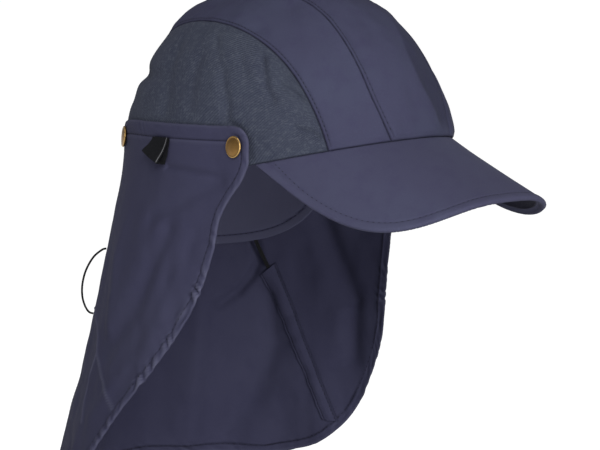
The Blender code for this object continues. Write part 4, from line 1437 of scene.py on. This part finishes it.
# %% Nape panel
NAPE_WALL = 0.0012
NAPE_DROP = 0.0585
NAPE_HALF_ANGLE = 73.0
NAPE_LEAN = 0.003
NAPE_SEAM_GAP = 0.0003
NAPE_ROUND = 5
NAPE_END_SHARE = 0.985


def nape_place(u, v):
    degrees = NAPE_HALF_ANGLE * NAPE_END_SHARE * (2 * u - 1)
    depth = NAPE_DROP * math.sqrt(1 - abs(degrees / NAPE_HALF_ANGLE) ** NAPE_ROUND)
    top = rim_point(degrees)
    out = crown_normal(top)
    level = Vector((out.x, out.y, 0.0)).normalized()
    return Vector((top.x, top.y, top.z - NAPE_SEAM_GAP - depth * v)) - level * (NAPE_LEAN * v * depth / NAPE_DROP)


nape, nape_points, row, column = lay_grid(
    "nape_panel_cloth", graded(120, 0.02, 6, 0.02, 6), graded(30, 0.02, 2, 0.12, 12), nape_place)
lay_cloth_map(nape, nape_points, row, column)
places, normals = outward_normals(nape, outward_of)
distance, along, _ = near_edge(nape_points, places, ("bottom", "left", "right"))
roll = -0.00025 * np.sin(np.clip(distance / SIDE_HEM, 0.0, 1.0) * math.pi)
lift = 0.5 * roll - stitch_pucker(distance, along, SIDE_HEM, 0.00030, 0.008, 0.006)
lift += np.array([0.0008 * rumple(p, 0.035, (1.0, 1.0, 0.5), 3) for p in places]) * np.clip((-0.004 - places[:, 2]) / 0.02, 0.0, 1.0)
# The whole panel is painted lighter, standing in for light that reaches it under the crown, with painted shadow in its
# hem's stitch groove.
marks_and_painted_light = 0.45 - 1.0 * np.exp(-((distance - SIDE_HEM) / 0.0005) ** 2)
sew(nape, places, normals, lift, distance, np.full(len(places), NAPE_WALL), marks_and_painted_light)
nape.data.materials.append(flap_cloth)
dress(nape, "flap_cloth", "nape_panel")

# %% Casings
CASING_WIDTH = 0.0104
CASING_WALL = 0.0006
CASING_CLEARANCE = 0.0006
CASING_TOP_DEGREES = 48.2
CASING_TOP_SHARE = 0.40
CASING_END_SHARE = 0.872
CASING_EDGE_DEGREES = 5.4
CASING_SLANT = 0.022        # the open end is cut at a slant
CASING_INSET = 0.0016
CASING_PUFF = 0.0009


def casing_place(side):
    end_degrees = front_edge_degrees(-FLAP_DROP * CASING_END_SHARE, side) - CASING_EDGE_DEGREES
    half_degrees = math.degrees(CASING_WIDTH / 2 / CROWN_HALF_LENGTH)

    def place(u, v):
        across = side * (2 * u - 1)
        degrees = CASING_TOP_DEGREES + (end_degrees - CASING_TOP_DEGREES) * v + half_degrees * across
        share = CASING_TOP_SHARE + (CASING_END_SHARE - CASING_TOP_SHARE) * v
        share -= CASING_SLANT * across * (1 - v) ** 2
        inner_face = flap_point(side * degrees, -FLAP_DROP * share)
        away = looseness(np.array([[side * degrees, share]]), [inner_face])[0] - CASING_CLEARANCE
        return inner_face + flap_normal(side * degrees, -FLAP_DROP * share) * away

    return place


casings = {}
for word, side in (("right", -1), ("left", 1)):
    casing, points, row, column = lay_grid(
        "casing_cloth_" + word, np.linspace(0.0, 1.0, 25), np.linspace(0.0, 1.0, 91), casing_place(side))
    lay_cloth_map(casing, points, row, column)
    places, normals = outward_normals(casing, outward_of)
    distance, along, _ = near_edge(points, places, ("left", "right"))
    puff = -CASING_PUFF * np.clip((distance - CASING_INSET) / (CASING_WIDTH / 2 - CASING_INSET), 0.0, 1.0) ** 0.6
    lift = puff - stitch_pucker(distance, along, CASING_INSET, 0.00070, 0.006, 0.004)
    all_round, _, _ = near_edge(points, places, ("left", "right", "top", "bottom"))
    # Painted shadow along the casing's edges and in its stitch grooves.
    sew(casing, places, normals, lift, all_round, np.full(len(places), CASING_WALL),
        -0.5 * np.exp(-((distance - CASING_INSET) / 0.0004) ** 2) - 0.5 * np.exp(-(distance / 0.0007) ** 2))
    casing.data.materials.append(flap_cloth)
    dress(casing, "flap_cloth", "casing_" + word)
    casings[word] = (casing, points)

# %% Stitches of the peak, the flap, the nape panel and the casings
peak_rows = stitch_rows("stitches_peak", peak, [edge_path(peak_points, "bottom", PEAK_STITCH_INSET, 0.008, 0.008)],
                        (1, -1), Vector((0.0, 0.0, 1.0)))
dress(peak_rows, "peak_cloth")
flap_paths = [edge_path(flap_points, "top", TOP_HEM, 0.006, 0.006),
              edge_path(flap_points, "bottom", SIDE_HEM, 0.0, 0.0),
              edge_path(flap_points, "left", NEAR_HEM, 0.012, 0.0),
              edge_path(flap_points, "right", SIDE_HEM, 0.012, 0.0)]
flap_stitches = stitch_rows("stitches_flap_hem", flap, flap_paths, (1, -1))
dress(flap_stitches, "flap_cloth")
nape_stitches = stitch_rows("stitches_nape_hem", nape, [edge_path(nape_points, "bottom", SIDE_HEM, 0.002, 0.002)], (1, -1))
dress(nape_stitches, "flap_cloth")
for word in ("right", "left"):
    casing, points = casings[word]
    casing_rows = stitch_rows("stitches_casing_" + word, casing,
                              [edge_path(points, "left", CASING_INSET), edge_path(points, "right", CASING_INSET)], (-1,))
    dress(casing_rows, "flap_cloth")
bpy.data.objects.remove(one_stitch)

# %% [markdown]
# ## Snaps and label
# Each snap shows a round brass cap: a low dome inside a rolled edge. A cylinder is raised ring by
# ring with extrude and resize, which gives the step between the edge and the dome. The small folded
# tab beside it is two layers of black woven tape, bare here, with a pale thread down one side.

# %% Snap caps
SNAP_RADIUS = 0.0060
SNAP_CLEARANCE = 0.0003
SNAP_BELOW_TOP = 0.0110
SNAP_FROM_EDGE = 0.0080
BACK_SNAP_ANGLE = 45.0
SNAP_TURN = math.radians(-13.0)   # a front snap leans back a little on its soft cloth
SNAP_RINGS = (
    # radius share, rise in millimetres
    (1.000, 0.35),
    (1.000, 0.30),
    (0.975, 0.28),
    (0.930, 0.14),
    (0.885, 0.02),
    (0.850, -0.12),
    (0.800, 0.02),
    (0.660, 0.26),
    (0.450, 0.24),
    (0.220, 0.12),
)


def snap_degrees(side, front):
    if not front:
        return side * BACK_SNAP_ANGLE
    edge = front_edge_degrees(FLAP_TOP - SNAP_BELOW_TOP, side)
    return side * (edge - math.degrees(SNAP_FROM_EDGE / CROWN_HALF_LENGTH))


def snap_cap(name, degrees, front):
    """Cap of a snap, raised ring by ring, then moved onto the flap."""
    bpy.ops.object.select_all(action="DESELECT")
    bpy.ops.mesh.primitive_cylinder_add(vertices=64, radius=SNAP_RADIUS * 0.94, depth=0.0006, location=(0.0, 0.0, 0.0))
    cap = bpy.context.object
    cap.name = name
    bpy.ops.object.mode_set(mode="EDIT")
    bpy.ops.mesh.select_mode(type="FACE")
    bpy.ops.mesh.select_all(action="DESELECT")
    shell = bmesh.from_edit_mesh(cap.data)
    top = max(shell.faces, key=lambda face: face.calc_center_median().z)
    top.select = True
    bmesh.update_edit_mesh(cap.data)
    radius = 0.94
    for share, rise in SNAP_RINGS:
        bpy.ops.mesh.extrude_region_move(TRANSFORM_OT_translate={"value": (0.0, 0.0, rise * 0.001)})
        bpy.ops.transform.resize(value=(share / radius, share / radius, 1.0))
        radius = share
    bpy.ops.object.mode_set(mode="OBJECT")
    bpy.ops.object.modifier_add(type="SUBSURF")
    cap.modifiers[-1].levels = cap.modifiers[-1].render_levels = 1
    bpy.ops.object.modifier_apply(modifier=cap.modifiers[-1].name)
    bpy.ops.object.shade_smooth_by_angle(angle=math.radians(50.0))
    ring = np.array([math.hypot(v.co.x, v.co.y) / SNAP_RADIUS for v in cap.data.vertices])
    mark = cap.data.attributes.new("marks_and_painted_light", "FLOAT", "POINT")
    mark.data.foreach_set("value", np.exp(-((ring - 0.945) / 0.05) ** 2).astype(np.float32))
    cap.data.uv_layers[0].name = "cloth"
    spots = [v.co.copy() for v in cap.data.vertices]
    for loop in cap.data.loops:
        spot = spots[loop.vertex_index]
        cap.data.uv_layers["cloth"].data[loop.index].uv = (math.hypot(spot.x, spot.y), math.atan2(spot.y, spot.x) * 0.003)
    height = flap_top(degrees) - SNAP_BELOW_TOP + (0.0 if front else 0.0018)
    out = flap_normal(degrees, height)
    place = flap_point(degrees, height) + out * (HEM_WALL + SNAP_CLEARANCE)
    if front:
        out.rotate(Euler((0.0, 0.0, math.copysign(SNAP_TURN, degrees))))
    cap.data.transform(Matrix.Translation(place) @ out.to_track_quat("Z", "Y").to_matrix().to_4x4())
    cap.data.materials.append(brass_finish)
    return cap


for word, side in (("right", -1), ("left", 1)):
    for part_word, front in (("front", True), ("back", False)):
        cap = snap_cap(f"snap_cap_{part_word}_{word}", snap_degrees(side, front), front)
        dress(cap, "snap_brass", f"snap_{part_word}_{word}")

# %% Folded label tab
LABEL_WIDTH = 0.0136
LABEL_LENGTH = 0.0118
LABEL_ANGLE = 76.8
LABEL_TILT = math.radians(-24.0)
LABEL_LIFT = 0.0045
LABEL_CLEARANCE = 0.0004
TAPE_WALL = 0.0005

label_height = flap_top(-LABEL_ANGLE) - TOP_HEM
label_out = flap_normal(-LABEL_ANGLE, label_height)
label_top = flap_point(-LABEL_ANGLE, label_height) + label_out * (0.0018 + LABEL_CLEARANCE)
label_down = Vector((0.0, 0.0, -1.0))
label_along = label_out.cross(label_down).normalized()
label_hang = (label_down * math.cos(LABEL_TILT) + label_along * math.sin(LABEL_TILT)).normalized()
label_across = label_out.cross(label_hang).normalized()


def tape_place(u, v):
    """The tape comes down in front, turns in a soft fold at the bottom and goes up behind."""
    if v < 0.5:
        down, lift = 2 * v, LABEL_LIFT * (2 * v) ** 2 + 0.0006
        swing = 0.0
    else:
        down = 2 - 2 * v
        lift = LABEL_LIFT * 0.45 * down ** 2
        swing = 0.0022 * down
    bottom = bump(v, 0.5, 0.03) * 0.0005
    cup = 0.0006 * (2 * u - 1) ** 2 * down
    across = label_along.lerp(label_across * 1.15, down)
    return (label_top + across * (LABEL_WIDTH * (u - 0.5) + swing) + label_hang * (LABEL_LENGTH * down + bottom)
            + label_out * (lift - cup))


label, label_points, row, column = lay_grid(
    "label_tab_tape", np.linspace(0.0, 1.0, 61), graded(50, 0.05, 3, 0.05, 3), tape_place)
lay_cloth_map(label, label_points, row, column)
places = np.array([v.co for v in label.data.vertices])
normals = np.zeros(len(places) * 3)
label.data.vertices.foreach_get("normal", normals)
distance, _, _ = near_edge(label_points, places, ("right",))
selvedge = np.exp(-((distance - 0.0010) / 0.00025) ** 2) * (column > 30) * (row < 28)
sew(label, places, normals.reshape(-1, 3), 0.0001 * selvedge, distance, np.full(len(places), TAPE_WALL), selvedge)
label.data.materials.append(label_finish)
dress(label, "label_weave", "label_tab")

# %% [markdown]
# ## The sizes of the sheets
# The widths, lengths and areas of the hanging sheets, a casing and the label are printed.

# %% Sheets
def cut_size(points):
    """Mean length across and down a grid of points, and its area, in metres."""
    across = np.linalg.norm(np.diff(points, axis=1), axis=2).sum(axis=1).mean()
    down = np.linalg.norm(np.diff(points, axis=0), axis=2).sum(axis=0).mean()
    diagonals = np.cross(points[1:, 1:] - points[:-1, :-1], points[1:, :-1] - points[:-1, 1:])
    return round(float(across), 4), round(float(down), 4), round(float(np.linalg.norm(diagonals, axis=2).sum() / 2), 6)


def hung_size(piece, points):
    """Widest row and middle column of a hemmed sheet, and the area of one of its faces, in metres."""
    widest = np.linalg.norm(np.diff(points, axis=1), axis=2).sum(axis=1).max()
    middle = points[:, points.shape[1] // 2]
    fall = np.linalg.norm(np.diff(middle, axis=0), axis=1).sum()
    face = sum(polygon.area for polygon in piece.data.polygons) / 2
    return round(float(widest), 4), round(float(fall), 4), round(float(face), 5)


for sheet, points, hem_stitches in ((flap, flap_points, flap_stitches), (nape, nape_points, nape_stitches)):
    width, length, area = hung_size(sheet, points)
    print(sheet.name, "width, length and area:", width, length, area)
for label_text, points in (("casing", casings["left"][1]), ("label", label_points)):
    print(label_text, "across, down and area:", cut_size(points))
for word in ("right", "left"):
    casing, points = casings[word]
    width, length, _ = cut_size(points)
width, length, _ = cut_size(label_points)
